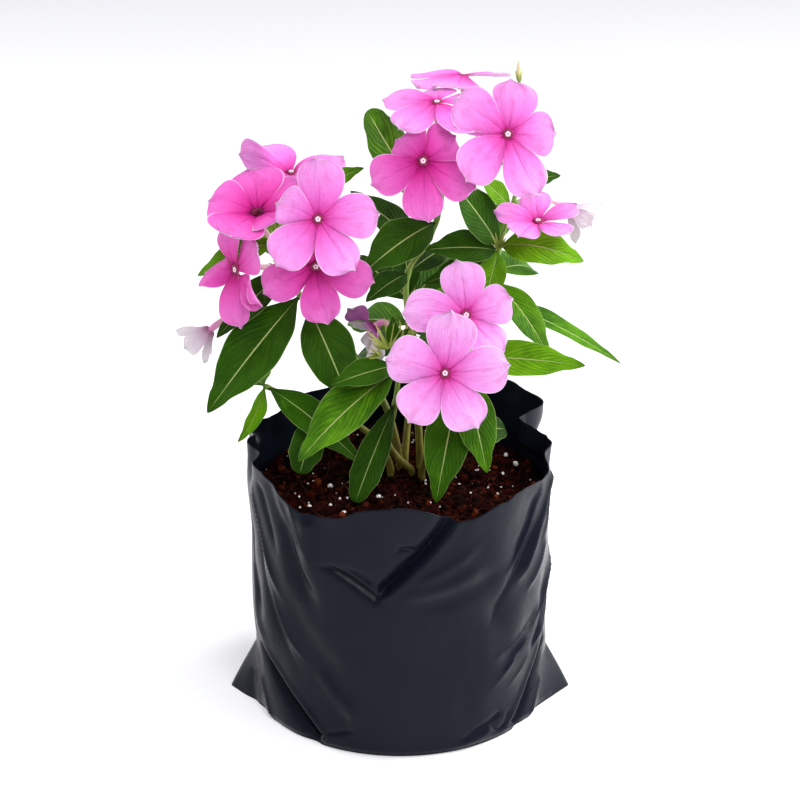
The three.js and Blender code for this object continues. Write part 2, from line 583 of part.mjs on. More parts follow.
// All five petals and the throat between them, as one sheet.
function petalSheet(bloom) {
  const facing = facingOf(bloom);
  const upright = new THREE.Vector3(0, 0, 1);
  upright.addScaledVector(facing, -upright.dot(facing)).normalize();
  const centre = vector(bloom.centre);
  const rise = Math.sin(radians(bloom.cup));
  const spread = Math.cos(radians(bloom.cup));
  const half = (bloom.radius * (bloom.breadth ?? PETAL_WIDTH)) / 2;
  const spots = [{ point: centre.clone().addScaledVector(facing, -THROAT_DEPTH), up: facing }];
  const faces = [];
  const edge = [];
  const add = (point) => spots.push({ point, up: facing }) - 1;
  const outwardAt = (turn) => upright.clone().applyAxisAngle(facing, radians(turn));

  const ring = [];
  bloom.turns.forEach((turn, k) => {
    const before = k > 0 ? bloom.turns[k - 1] : bloom.turns[PETAL_COUNT - 1] - 360;
    ring.push(add(centre.clone().addScaledVector(outwardAt((before + turn) / 2), THROAT_RADIUS)));
    ring.push(add(centre.clone().addScaledVector(outwardAt(turn), THROAT_RADIUS)));
  });
  const ringAt = (i) => ring[i % ring.length];
  ring.forEach((spot, i) => faces.push([0, spot, ringAt(i + 1)]));

  for (let k = 0; k < PETAL_COUNT; k += 1) {
    const outward = outwardAt(bloom.turns[k]);
    const side = facing.clone().cross(outward);
    const length = bloom.radius * bloom.reach[k] - THROAT_RADIUS;
    const placed = (share, column) => {
      const distance = length * share;
      const height = distance * rise * (1 - PETAL_EASE * share) - PETAL_TWIST * column;
      return centre.clone()
        .addScaledVector(outward, THROAT_RADIUS + distance * spread)
        .addScaledVector(side, column)
        .addScaledVector(facing, height - PETAL_FOLD * Math.abs(column));
    };
    let row = [ringAt(2 * k), ringAt(2 * k + 1), ringAt(2 * k + 2)];
    const rightEdge = [row[0]];
    const leftEdge = [];
    for (const [share, fullness] of PETAL_OUTLINE) {
      const next = [-1, 0, 1].map((column) => add(placed(share, column * half * fullness)));
      for (const j of [0, 1]) {
        faces.push([row[j], next[j], next[j + 1]]);
        faces.push([row[j], next[j + 1], row[j + 1]]);
      }
      rightEdge.push(next[0]);
      leftEdge.unshift(next[2]);
      row = next;
    }
    const tip = add(placed(1, PETAL_POINT * half));
    faces.push([row[0], tip, row[1]], [row[1], tip, row[2]]);
    edge.push(...rightEdge, tip, ...leftEdge);
  }
  return sheet(spots, faces, edge, PETAL_THICKNESS);
}

function makeBloom(bloom, root) {
  return joined([petalSheet(bloom), tubeBar(bloom, root)]);
}

// Leafy stems. The foot of each stem is straight, so that it stands in a plain hole.
function stemCurve(stem) {
  const [x, y] = stem.foot;
  const points = [[x, y, STEM_NECK_HEIGHT - 2], [x, y, STEM_NECK_HEIGHT], ...stem.path];
  return new THREE.CatmullRomCurve3(points.map(vector), false, 'centripetal');
}

function footBar(stem, depth, radius, sides) {
  const [x, y] = stem.foot;
  const line = new THREE.LineCurve3(vector([x, y, depth]), vector([x, y, STEM_NECK_HEIGHT]));
  return bar(line, [[0, radius], [1, radius]], sides);
}

function budBar(bud, root) {
  const tip = vector(bud.tip);
  const stalk = new THREE.LineCurve3(root, tip);
  const start = 1 - bud.length / stalk.getLength();
  const swelling = BUD_RINGS.map(([part, radius]) => [THREE.MathUtils.lerp(start, 1, part), radius]);
  return bar(stalk, [[0, TWIG_RADIUS], [start, TWIG_RADIUS], ...swelling]);
}

function makeStem(stem) {
  const curve = stemCurve(stem);
  const radiusAt = (share) => THREE.MathUtils.lerp(STEM_FOOT_RADIUS, STEM_TIP_RADIUS, share);
  const pieces = [
    footBar(stem, STEM_FOOT_HEIGHT, STEM_FOOT_RADIUS, STEM_SIDES),
    bar(curve, evenRings(stem.path.length + 3, radiusAt)),
  ];
  const twigs = stem.twigs.map((path) => new THREE.CatmullRomCurve3(path.map(vector)));
  for (const twig of twigs) pieces.push(bar(twig, evenRings(3, () => TWIG_RADIUS)));
  const startOf = (place) => {
    const starts = [curve, ...twigs].map((line) => nearestOnCurve(line, place));
    starts.sort((a, b) => a.distanceTo(vector(place)) - b.distanceTo(vector(place)));
    return starts[0];
  };
  for (const leaf of stem.leaves) pieces.push(leafBlade(leaf, startOf(leaf.root)));
  for (const bud of stem.buds) pieces.push(budBar(bud, startOf(bud.root)));
  for (const bloom of BLOOMS) {
    if (bloom.stem === stem.name) pieces.push(stalkBar(bloom, nearestOnCurve(curve, bloom.root)));
  }
  return joined(pieces);
}

function holeFor(stem) {
  const radius = (STEM_FOOT_RADIUS + HOLE_GAP) / Math.cos(Math.PI / HOLE_SIDES);
  return footBar(stem, STEM_FOOT_HEIGHT - HOLE_GAP, radius, HOLE_SIDES);
}

function namedMesh(name, solid, look) {
  const mesh = new THREE.Mesh(toGeometry(solid), new THREE.MeshStandardMaterial(look));
  mesh.name = name;
  return mesh;
}

const plant = new THREE.Group();
plant.add(namedMesh('bag', makeBag(), LOOKS.bag));
plant.add(namedMesh('soil', makeSoil(STEMS.map(holeFor)), LOOKS.soil));
for (const stem of STEMS) plant.add(namedMesh(stem.name, makeStem(stem), LOOKS.leaf));
for (const bloom of BLOOMS) {
  const stem = STEMS.find((candidate) => candidate.name === bloom.stem);
  const look = { ...LOOKS.petal, color: SHADES[bloom.shade] };
  plant.add(namedMesh(bloom.name, makeBloom(bloom, nearestOnCurve(stemCurve(stem), bloom.root)), look));
}

export default plant;
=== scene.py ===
import math
import random
from collections import namedtuple

import bmesh
import bpy
from mathutils import Matrix, Vector, noise


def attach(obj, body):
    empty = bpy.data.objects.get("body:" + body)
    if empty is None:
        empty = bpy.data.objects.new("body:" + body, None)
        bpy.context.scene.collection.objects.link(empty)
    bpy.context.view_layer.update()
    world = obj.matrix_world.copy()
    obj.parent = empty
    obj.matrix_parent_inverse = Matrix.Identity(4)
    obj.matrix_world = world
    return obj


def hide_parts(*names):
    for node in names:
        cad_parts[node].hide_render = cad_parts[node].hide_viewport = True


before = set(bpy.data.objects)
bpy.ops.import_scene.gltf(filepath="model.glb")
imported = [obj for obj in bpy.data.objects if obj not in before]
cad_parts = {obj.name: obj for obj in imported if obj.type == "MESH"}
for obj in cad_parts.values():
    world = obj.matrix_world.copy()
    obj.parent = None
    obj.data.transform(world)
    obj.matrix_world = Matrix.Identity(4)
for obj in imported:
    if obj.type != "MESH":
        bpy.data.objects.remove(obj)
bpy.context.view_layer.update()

# The looks of a Madagascar periwinkle in a soft black film grow bag. Shapes are worked out in millimetres, as
# in the solids, and each finished piece is scaled to metres. The front looks to -Y.
MM = 0.001
UP = Vector((0, 0, 1))

# The bag. Angles round it are in degrees from its right-hand side, so that -90 is the front. Tables of it are
# rows of (height, radius) and (degrees, height).
BAG_PROFILE = [(0, 60.6), (3, 61.8), (22, 61.2), (60, 62.4), (95, 63.2), (125, 64.2)]
BAG_ARC = math.radians(1) * 62.4
RIM_START = 95
RIM_HEIGHTS = [
    (-169, 112.7), (-155, 114.5), (-142, 110), (-128, 106.3), (-114, 108), (-104, 112.7), (-96, 114.5),
    (-86, 115), (-79, 112.3), (-69, 107), (-59, 108.4), (-48, 110.4), (-38, 111.5), (-18, 110), (-8, 114.5),
    (2, 115.5), (9, 114), (17, 121.5), (28, 121.5), (43, 123.3), (60, 120), (90, 116), (120, 115.5),
    (136, 116), (150, 112.5), (165, 113.5), (178, 114.2), (191, 112.7),
]
RIM_WAVE = 0.7

# The top of the rim is rounded by two steps, each a share of the film's thickness inwards.
RIM_ROUND = 0.12
RIM_STEPS = (0.25, 0.75)

# FILM_ROWS are the rows of the foot, the outside, the inside above the mix, the inside behind the mix, and
# the floor.
FILM = 0.5
FILM_COLUMNS = 350
FILM_ROWS = (6, 176, 40, 14, 4)
FRONT_WEIGHT = 0.62
BAG_FLOOR = 1.0
FLOOR_LIFT = 0.5
HIDDEN_TOP = 88.0
HIDDEN_REACH = 6.6
SLACK_BROAD = 1.5
SLACK_FINE = 0.75
SLACK_START = 20
LOOSE_FOOT = 92
LOOSE_RISE = 16
LOOSE_MORE = 0.4
EAR_REACH = 73
EAR_HEIGHT = 23
EAR_ANGLE = 46
EAR_HOLLOW = 1.2

# Marks pressed into the film, as (kind, depth, width, fade in, fade out, line). Each runs along a line of
# (degrees, height) spots. A dent is a soft trough, a nick is a sharp one, and a lap is a step: the film on
# the left of the line lies under the film on its right. A negative depth stands out. The fades are shares of
# the line's length. MARK_REACH says how many widths away a mark is still felt.
MARK_REACH = {"dent": 2.6, "nick": 5, "lap": 5}
LAP_WALL = 2.3
LAP_LIP = (0.05, 3.4, 1.6)
FILM_MARKS = [
    # The V at the front, where the slack film was pushed down behind the rim.
    ("lap", 6.0, 4.2, 0.1, 0, [(-98.9, 73.6), (-93, 80), (-85.5, 88), (-78, 97), (-72.5, 105), (-69, 113)]),
    ("nick", 3.2, 1.6, 0, 0.45, [(-98.9, 73.6), (-104, 77.5), (-111, 82), (-117, 84.5), (-124, 85)]),
    ("nick", 1.6, 1.1, 0.3, 0.4, [(-99, 78.5), (-103.5, 82), (-108, 84.8), (-113, 87)]),
    ("nick", 1.5, 1.3, 0.35, 0.35, [(-93, 94.2), (-89.5, 95.6), (-86, 95), (-83, 92.8)]),
    # Folds that run down the left side.
    ("nick", 1.5, 2.2, 0.2, 0.3, [(-168, 104), (-163, 86), (-152, 62), (-141, 42), (-131, 30)]),
    ("dent", 1.6, 5, 0.1, 0.3, [(-151, 116), (-140, 99), (-130, 75), (-117, 51)]),
    ("dent", -0.9, 2.4, 0.2, 0.3, [(-146, 112), (-135, 92), (-123, 70)]),
    ("dent", 1.7, 7, 0.3, 0.4, [(-141, 74), (-128, 48), (-112, 30), (-97, 22)]),
    ("dent", -1.1, 3, 0.3, 0.3, [(-172, 78), (-163, 48), (-150, 30)]),
    ("dent", -1.7, 5, 0.15, 0.5, [(-127, 107), (-125, 88), (-120, 66)]),
    ("dent", 1.5, 4, 0.2, 0.4, [(-138, 104), (-134, 84), (-127, 62)]),
    ("nick", -1.5, 1.6, 0.25, 0.3, [(-166, 108), (-159, 92), (-149, 74), (-139, 58)]),
    ("nick", 1.6, 1.8, 0.2, 0.4, [(-158, 110), (-152, 98), (-143, 80)]),
    ("nick", -1.2, 1.5, 0.3, 0.4, [(-150, 66), (-138, 46), (-126, 34)]),
    ("nick", 1.6, 2.0, 0.3, 0.3, [(-176, 96), (-172, 76), (-164, 58), (-155, 44)]),
    ("nick", -1.0, 1.4, 0.2, 0.5, [(-136, 110), (-131, 97), (-124, 84)]),
    ("dent", -0.8, 3, 0.3, 0.4, [(-128, 40), (-112, 22), (-98, 12)]),
    # Tension lines from the foot of the V to the upper right.
    ("dent", -0.8, 3, 0.3, 0.4, [(-95, 73), (-72, 78), (-52, 86)]),
    ("dent", -0.8, 2.6, 0.3, 0.4, [(-88, 78.5), (-70, 87), (-56, 98)]),
    ("dent", 1.1, 4, 0.3, 0.4, [(-90, 69), (-68, 72), (-44, 82)]),
    # Folds at the right side.
    ("nick", -2.8, 2.4, 0.15, 0.2, [(-10, 113), (-20, 99), (-31, 83), (-41, 68)]),
    ("nick", -1.3, 1.5, 0.2, 0.3, [(-5, 108), (-14, 92), (-24, 78)]),
    ("dent", 1.4, 3, 0.2, 0.4, [(-12, 104), (-20, 90)]),
    ("nick", -2.6, 2.6, 0.2, 0.35, [(-2, 74), (-8, 58), (-24, 44), (-40, 36), (-56, 22)]),
    ("nick", -1.2, 1.8, 0.25, 0.35, [(-3, 56), (-16, 40), (-32, 31), (-47, 20)]),
    ("dent", 1.8, 3.6, 0.25, 0.35, [(-6, 66), (-20, 50), (-38, 42), (-52, 30)]),
    ("nick", -0.9, 1.6, 0.3, 0.3, [(-10, 33), (-20, 24), (-30, 18)]),
    ("dent", 1.0, 6, 0.4, 0.4, [(-62, 60), (-46, 62), (-30, 70)]),
    ("nick", 1.6, 1.8, 0.25, 0.35, [(-26, 97), (-36, 82), (-47, 66), (-56, 52)]),
    ("nick", -1.6, 1.9, 0.25, 0.35, [(-17, 84), (-26, 72), (-35, 61)]),
    ("nick", 1.8, 1.6, 0.25, 0.3, [(-4, 62), (-12, 50), (-24, 37), (-36, 26)]),
    ("nick", -1.8, 1.7, 0.25, 0.4, [(-16, 56), (-34, 45), (-54, 38)]),
    ("nick", 1.8, 1.8, 0.25, 0.4, [(-14, 50), (-32, 39), (-50, 32)]),
    ("nick", -1.5, 1.8, 0.2, 0.4, [(-22, 112), (-30, 98), (-41, 82), (-50, 72)]),
    ("nick", 1.5, 1.8, 0.2, 0.4, [(-26, 108), (-35, 93), (-46, 78)]),
    # The fronts of the ears, where the round body hangs over the flat corner.
    ("lap", 14, 2.8, 0.12, 0.25, [(-120, 2), (-129, 10), (-139, 18), (-149, 25.5), (-161, 33)]),
    ("lap", 14, 2.6, 0.25, 0.1, [(-15, 36), (-21.5, 27), (-28.5, 17.5), (-35.5, 9), (-41.5, 2)]),
    ("nick", -1.2, 1.6, 0.2, 0, [(-163, 17), (-156, 9), (-151, 1)]),
    ("nick", -1.2, 1.6, 0.2, 0, [(-15, 15), (-22, 8), (-27, 1)]),
    ("dent", 1.0, 3, 0.2, 0, [(-172, 14), (-168, 1)]),
    ("nick", 1.5, 0.9, 0.2, 0.2, [(-53, 9), (-48, 4), (-43, 7), (-42, 12)]),
    # Creases along the foot.
    ("nick", 1.6, 1.2, 0.1, 0.5, [(-46, 12), (-56, 8), (-68, 5)]),
    ("dent", -0.8, 1.8, 0.2, 0.5, [(-50, 6), (-62, 3.5), (-74, 2)]),
    ("nick", 1.4, 1.5, 0.2, 0.5, [(-122, 6), (-114, 8.5), (-104, 12)]),
    ("dent", 1.0, 5, 0.4, 0.4, [(-119, 13), (-108, 15)]),
    # The back, which the photograph doesn't show.
    ("lap", 7, 3.2, 0.2, 0.12, [(165, 28), (157, 20), (147, 11), (137, 1)]),
    ("lap", 7, 3.2, 0.12, 0.2, [(43, 1), (33, 11), (23, 20), (15, 28)]),
    ("dent", 1.8, 6, 0.1, 0.4, [(60, 114), (70, 80), (85, 40)]),
    ("nick", -1.2, 2.2, 0.2, 0.4, [(52, 110), (60, 86), (66, 66)]),
    ("dent", 1.8, 6, 0.1, 0.4, [(128, 112), (118, 72), (104, 30)]),
    ("nick", -1.3, 2.4, 0.2, 0.4, [(142, 100), (131, 74), (122, 50)]),
    ("nick", 1.8, 1.5, 0.3, 0.3, [(98, 88), (84, 78), (74, 80)]),
    ("dent", 1.3, 5, 0.3, 0.4, [(20, 70), (36, 48), (58, 34)]),
    ("dent", 1.3, 5, 0.3, 0.4, [(166, 66), (150, 44), (136, 26)]),
    # Pleats in the free rim.
    ("nick", 14, 4.0, 0, 0.45, [(14.4, 126), (14, 112), (12, 98)]),
    ("dent", -2.5, 5, 0, 0.5, [(23, 126), (23, 106)]),
    ("dent", 1.6, 3.4, 0, 0.4, [(4, 118), (0, 106), (-4, 97)]),
    ("nick", 2.4, 3.0, 0, 0.4, [(171, 120), (170, 108), (167, 98)]),
    ("nick", 1.6, 2.2, 0, 0.4, [(149, 121), (153, 110), (157, 100)]),
    ("dent", 3, 5, 0, 0.5, [(-9, 120), (-11, 102)]),
    ("dent", 5.5, 6, 0, 0.7, [(-173, 122), (-173, 110), (-170, 96)]),
    ("dent", -2.2, 5, 0, 0.6, [(30, 126), (28, 100)]),
    ("dent", 2.4, 7, 0, 0.5, [(90, 120), (92, 99)]),
    ("dent", 2.2, 5, 0, 0.5, [(146, 118), (143, 100)]),
    ("dent", -3.6, 6, 0, 0.5, [(159, 118), (161, 102)]),
]

# The potting mix, and where its grains show in the photograph.
SOIL_MOUND = 6
SOIL_LUMP = 0.9
SOIL_WAVE = (6.1, 5.3)
SOIL_RIPPLE = (2.9, 3.7)
SOIL_RIPPLE_SHARE = 0.6
SOIL_CLOD = 1.5
SOIL_CLOD_SIZE = 5.5
SOIL_PIT = 0.45
SOIL_PIT_SIZE = 2.3
SOIL_SINK = 0.6
SOIL_REACH = 63.2
SOIL_FOOT = BAG_FLOOR + 0.4
SOIL_SHOULDER = 90.0
SOIL_SIDE_GAP = 9
SOIL_EAR_GAP = 20
SOIL_EAR_TOP, SOIL_EAR_FADE = 46, 10
SOIL_EDGE_START, SOIL_EDGE_WIDTH = 0.93, 0.07
SOIL_EDGE_DROP = 3.0
BRIM_TURNS, BRIM_RISES = (-1.2, 0, 1.2), (-5, -2.5, 0, 3)
BRIM_GAP = 0.3
SOIL_COLUMNS = 300
SOIL_ROWS = (3, 14, 120)
PERLITE_SEEN = [
    (-50.7, 5.3), (-36.4, 2.3), (-29.1, -8.4), (-41.7, -16.0), (-37.3, -25.5), (-22.9, -32.1), (-2.1, -17.9),
    (3.3, -28.3), (20.1, 1.3), (30.3, -9.3), (36.5, -8.4), (40.1, -13.2), (43.1, 4.3), (49.0, 16.1),
    (45.0, 24.2), (-41.0, -24.6), (-21.8, -21.7), (26.5, 8.2), (33.4, 0.4),
]
FIBRE_COUNT = 512
FIBRE_SIDES, FIBRE_RINGS = 3, 6
FIBRE_LENGTH, FIBRE_RADIUS = (3, 13), (0.1, 0.24)
LUMP_RISE = 0.3

# Green pieces. An outline is (share of the length, share of the half width).
STEM_SIDES, STEM_RINGS = 12, 110
TWIG_SIDES, TWIG_RINGS = 10, 24
STALK_SIDES, STALK_RINGS = 10, 26
BUD_STALK_SIDES, BUD_STALK_RINGS = 8, 18
BUD_SIDES, BUD_RINGS = 20, 22
STEM_FOOT_RADIUS = 1.9
STEM_TIP_RADIUS = 0.9
STEM_NECK_HEIGHT = 103
STEM_FOOT_DEPTH = 82
STEM_HOLE_TOP = 92
KNOT_LENGTH = 1.8
KNOT_SWELL = 0.22
TWIG_RADII = (0.85, 0.6)
STALK_RADIUS = 0.7
BUD_STALK_RADIUS = 0.6
BUD_SWAY = 1.2
LEAF_FACE = Vector((0, -0.6, 0.8))
POINTED_LEAF = [(0, 0.01), (0.05, 0.09), (0.1, 0.26), (0.28, 0.8), (0.47, 1), (0.7, 0.8), (0.89, 0.36)]
BLUNT_LEAF = [(0, 0.01), (0.05, 0.08), (0.1, 0.22), (0.28, 0.62), (0.52, 0.95), (0.76, 1), (0.92, 0.66)]
LEAF_BEND = 0.45
LEAF_FOLD = 0.16
LEAF_WAVE = 0.07
LEAF_WAVES_ALONG = 11
LEAF_WAVES_ACROSS = 2.2
LEAF_GRID = (20, 46)
LEAF_RUFFLE = (0.01, 0.035)
POINTED_POWER, BLUNT_POWER = 0.72, 0.42
RIB_WIDTH = 0.55
SEPAL_SHAPE = [(0, 0.5), (0.25, 1), (0.6, 0.7), (0.85, 0.3)]
SEPAL_GRID = (4, 8)

# The sepals under a bloom and a bud, as (length, count, width, spread).
CALYX = (5.2, 5, 1.15, 0.34)
BUD_CALYX = (3.6, 5, 0.9, 0.25)
TUFT_SPREAD = 0.75

# Blooms.
PETAL_COUNT = 5
EVEN_TURNS, EVEN_REACH = (0, 72, 144, 216, 288), (1, 1, 1, 1, 1)
PETAL_WIDTH = 0.78
PETAL_OVERLAP = 1.03
PETAL_TWIST = 0.12
PETAL_FOLD = 0.06
PETAL_EASE = 0.35
PETAL_POINT = 0.2
PETAL_NIB = 1.2
PETAL_START = 1.0
PETAL_THICKNESS = 0.16
PETAL_GRID = (18, 24)
WIDEST_GAP = 104
THROAT_RADIUS = 2.7
EYE_SIDES = 30
TUBE_SIDES, TUBE_RINGS = 14, 36
TUBE_LENGTH = 24
TUBE_RADIUS = 1.15
TUBE_END_DEPTH = 0.7
FUNNEL_TUBE_GAP = 4.0
CALYX_RADIUS = 1.7
CALYX_LENGTH = 2.6
STALK_BEND = 0.55
STALK_SHARE = 0.16

# A leaf or a bud starts at the point of the stem or a twig that is nearest to its root. arch lifts a leaf's
# middle, and roll turns it about its midrib in degrees. bend is the point that a bud's stalk leans to. A tuft
# is the narrow sepals left where a bloom has dropped, or the young leaves at a tip.
Leaf = namedtuple("Leaf", "root tip width arch tone roll blunt", defaults=(None, 0, False))
Bud = namedtuple("Bud", "root tip length girth bend", defaults=(1.1, None))
Tuft = namedtuple("Tuft", "root aim length count width")
Stem = namedtuple("Stem", "name foot path leaves twigs buds tufts", defaults=((), (), ()))

# Leafy stems, each rising from the mix by itself.
STEMS = [
    Stem("left", foot=(0, 4),
         path=[(-5, 8, 125), (-18, 7, 150), (-30, 4, 166), (-39.5, 0, 178.6), (-47, 2, 194),
               (-49.4, 2, 205)],
         twigs=[[(-49, 2, 203), (-43, 6, 213), (-34, 8, 222)]],
         leaves=[
             Leaf((-41, 0, 180), (-78, -26, 139.8), 24, 5, tone=0.3),
             Leaf((-37, 1, 176), (-20.4, -17, 140), 22, 5, tone=0.3),
             Leaf((-47, 2, 192), (-74, -18, 169.4), 14, 4),
             Leaf((-49, 2, 204), (-82, -3, 190.3), 13, 6, tone=0.85),
             Leaf((-34, 8, 222), (-14.5, 4, 234.2), 9, 3, tone=0.62),
             Leaf((-47, 2, 194), (-62, 40, 207), 17, 5),
             Leaf((-40, 0, 180), (-54, 38, 166), 19, 6),
             Leaf((-47, 2, 193), (-26, 30, 204), 15, 4),
         ],
         buds=[Bud((-46, 4, 208), (-46.2, 30, 234), 4.5, girth=0.75, bend=(-46.6, 34, 205))],
         tufts=[Tuft((-49.4, 2, 205), (0, -0.2, 1), 6, 7, 1.2)]),
    Stem("low_left", foot=(-4, 0),
         path=[(-8, 0, 113), (-20, 1, 124), (-33, 1, 129.5), (-46, 3, 134.5), (-56, 4, 138.6)],
         leaves=[
             Leaf((-55, 4, 138.4), (-15.5, -20, 114), 15, 9, tone=0.45),
             Leaf((-56, 4, 138.6), (-66.7, -12, 120.4), 10, 4, tone=0.9, roll=-62),
             Leaf((-33, 1, 129.5), (-41, -24, 111.5), 14, 5, tone=0.3, blunt=True),
             Leaf((-56, 4, 138.6), (-66, 34, 128), 17, 5),
             Leaf((-20, 1, 124), (-30, 36, 118), 16, 6, blunt=True),
         ]),
    Stem("front", foot=(4.6, -2),
         path=[(0, -3, 108), (-5, -4, 116.7), (-2.5, -8, 132.6), (-0.8, -14, 153.6), (-3, -12, 163)],
         leaves=[
             Leaf((-0.8, -14, 153), (-41, -40, 124.5), 22, 8, tone=0.6, roll=10),
             Leaf((-1, -14, 156), (-28, -31, 154), 13, 3),
             Leaf((-2, -9, 137), (-18.2, -34, 103.5), 13, 5, tone=0.2, blunt=True),
             Leaf((-3, -12, 162), (-2.9, -10, 175.5), 6, 1),
             Leaf((-3, -12, 162), (3.5, -12, 171), 5, 1),
         ],
         tufts=[Tuft((-5, -13, 163), (-0.3, -0.3, 1), 11, 13, 1.5),
                Tuft((1, -10, 166), (0.5, -0.3, 0.9), 9, 9, 1.3),
                Tuft((-8, -14, 160), (-0.9, -0.3, 0.5), 7, 8, 1.3)]),
    Stem("centre", foot=(8.5, 4),
         path=[(7, 7, 130), (4, 8, 160), (3.3, 4, 189.3), (12.2, 4, 204.1), (16.9, 4, 222.6), (16, 6, 234)],
         leaves=[
             Leaf((15, 4, 214), (-13, 4, 258.5), 18, -6, tone=0.55, blunt=True),
             Leaf((8, 4, 200), (-20, 2, 225), 14, 3),
             Leaf((14, 4, 212), (-15, -19, 197.5), 20, 7, tone=0.3),
             Leaf((3.3, 4, 189), (-13.7, -15, 183.9), 12, 4, tone=0.25),
             Leaf((3.5, 4, 189), (20, 30, 190), 14, 4),
             Leaf((4, 7, 165), (-22, 34, 154), 17, 6),
             Leaf((5, 7, 162), (22, 36, 144), 18, 6),
             Leaf((16, 4, 220), (2, 34, 222), 15, 5, blunt=True),
         ],
         buds=[Bud((16, 6, 232), (20, 12, 246), 6)],
         tufts=[Tuft((16, 6, 234), (0, -0.2, 1), 6, 7, 1.2)]),
    Stem("right", foot=(13, 1),
         path=[(20, 3, 130), (30, 3, 160), (37.8, 1, 185.2), (40.2, 4, 200.3), (46, 9, 218), (48, 12, 228)],
         leaves=[
             Leaf((40.2, 4, 201), (20.8, -6, 232), 18, 2, tone=0.3),
             Leaf((40.2, 4, 201), (74, -8, 198.5), 17, 13, tone=0.98, roll=8),
             Leaf((40, 4, 199), (10, -13, 205.5), 15, 5, tone=0.3, roll=-8),
             Leaf((39, 3, 194), (9.5, -7, 188.5), 13, 3),
             Leaf((39.5, 4, 198), (33.5, -17, 180), 12, 5, tone=0.85),
             Leaf((38, 1, 187), (60, -24, 164), 14, 7, tone=0.65, roll=-10),
             Leaf((36, 1, 180), (90, -8, 154), 13, 5, tone=0.6, roll=-28),
             Leaf((45, 8, 215), (31, 2, 231), 10, 2),
             Leaf((47, 11, 225), (65, 12, 228), 9, 3),
             Leaf((38.5, 2, 190), (56, 34, 178), 19, 6),
             Leaf((40.2, 4, 200), (34, 42, 206), 18, 5),
             Leaf((34, 2, 174), (16, 34, 170), 15, 5),
         ],
         buds=[Bud((48, 12, 227), (47.5, 20, 274), 8)],
         tufts=[Tuft((40, 2, 201), (0, -0.6, 0.8), 6.5, 9, 1.2),
                Tuft((48, 12, 228), (0.1, -0.2, 1), 6, 7, 1.1)]),
    Stem("front_right", foot=(9, -4),
         path=[(14, -7, 120), (22, -14, 142), (28.3, -18, 160.6), (27, -18, 168)],
         leaves=[
             Leaf((28.3, -18, 161), (74, -36, 165), 15, 7, tone=0.85, roll=20),
             Leaf((23, -15, 148), (14.5, -46, 109), 19, 6, tone=0.45),
             Leaf((25, -16, 152), (35, -44, 121.5), 17, 6, tone=0.55),
             Leaf((14, -7, 121), (44, 6, 118), 15, 6, tone=0.05, blunt=True),
         ],
         buds=[Bud((27, -18, 167), (31, -13, 178), 6)],
         tufts=[Tuft((27, -18, 168), (-0.3, 0.1, 1), 6, 6, 1.2)]),
    Stem("back", foot=(2, 10),
         path=[(4, 18, 125), (6, 28, 148), (4, 32, 166)],
         leaves=[
             Leaf((5, 28, 146), (-18, 56, 130), 19, 6),
             Leaf((6, 28, 148), (34, 56, 132), 20, 6),
             Leaf((4, 32, 165), (-20, 56, 176), 17, 5),
             Leaf((4, 32, 165), (27, 58, 178), 17, 5),
             Leaf((4, 19, 127), (30, 42, 114), 16, 6, blunt=True),
             Leaf((4, 32, 166), (1, 50, 192), 12, 3),
         ],
         tufts=[Tuft((4, 32, 166), (0, 0.2, 1), 6, 6, 1.2)]),
]

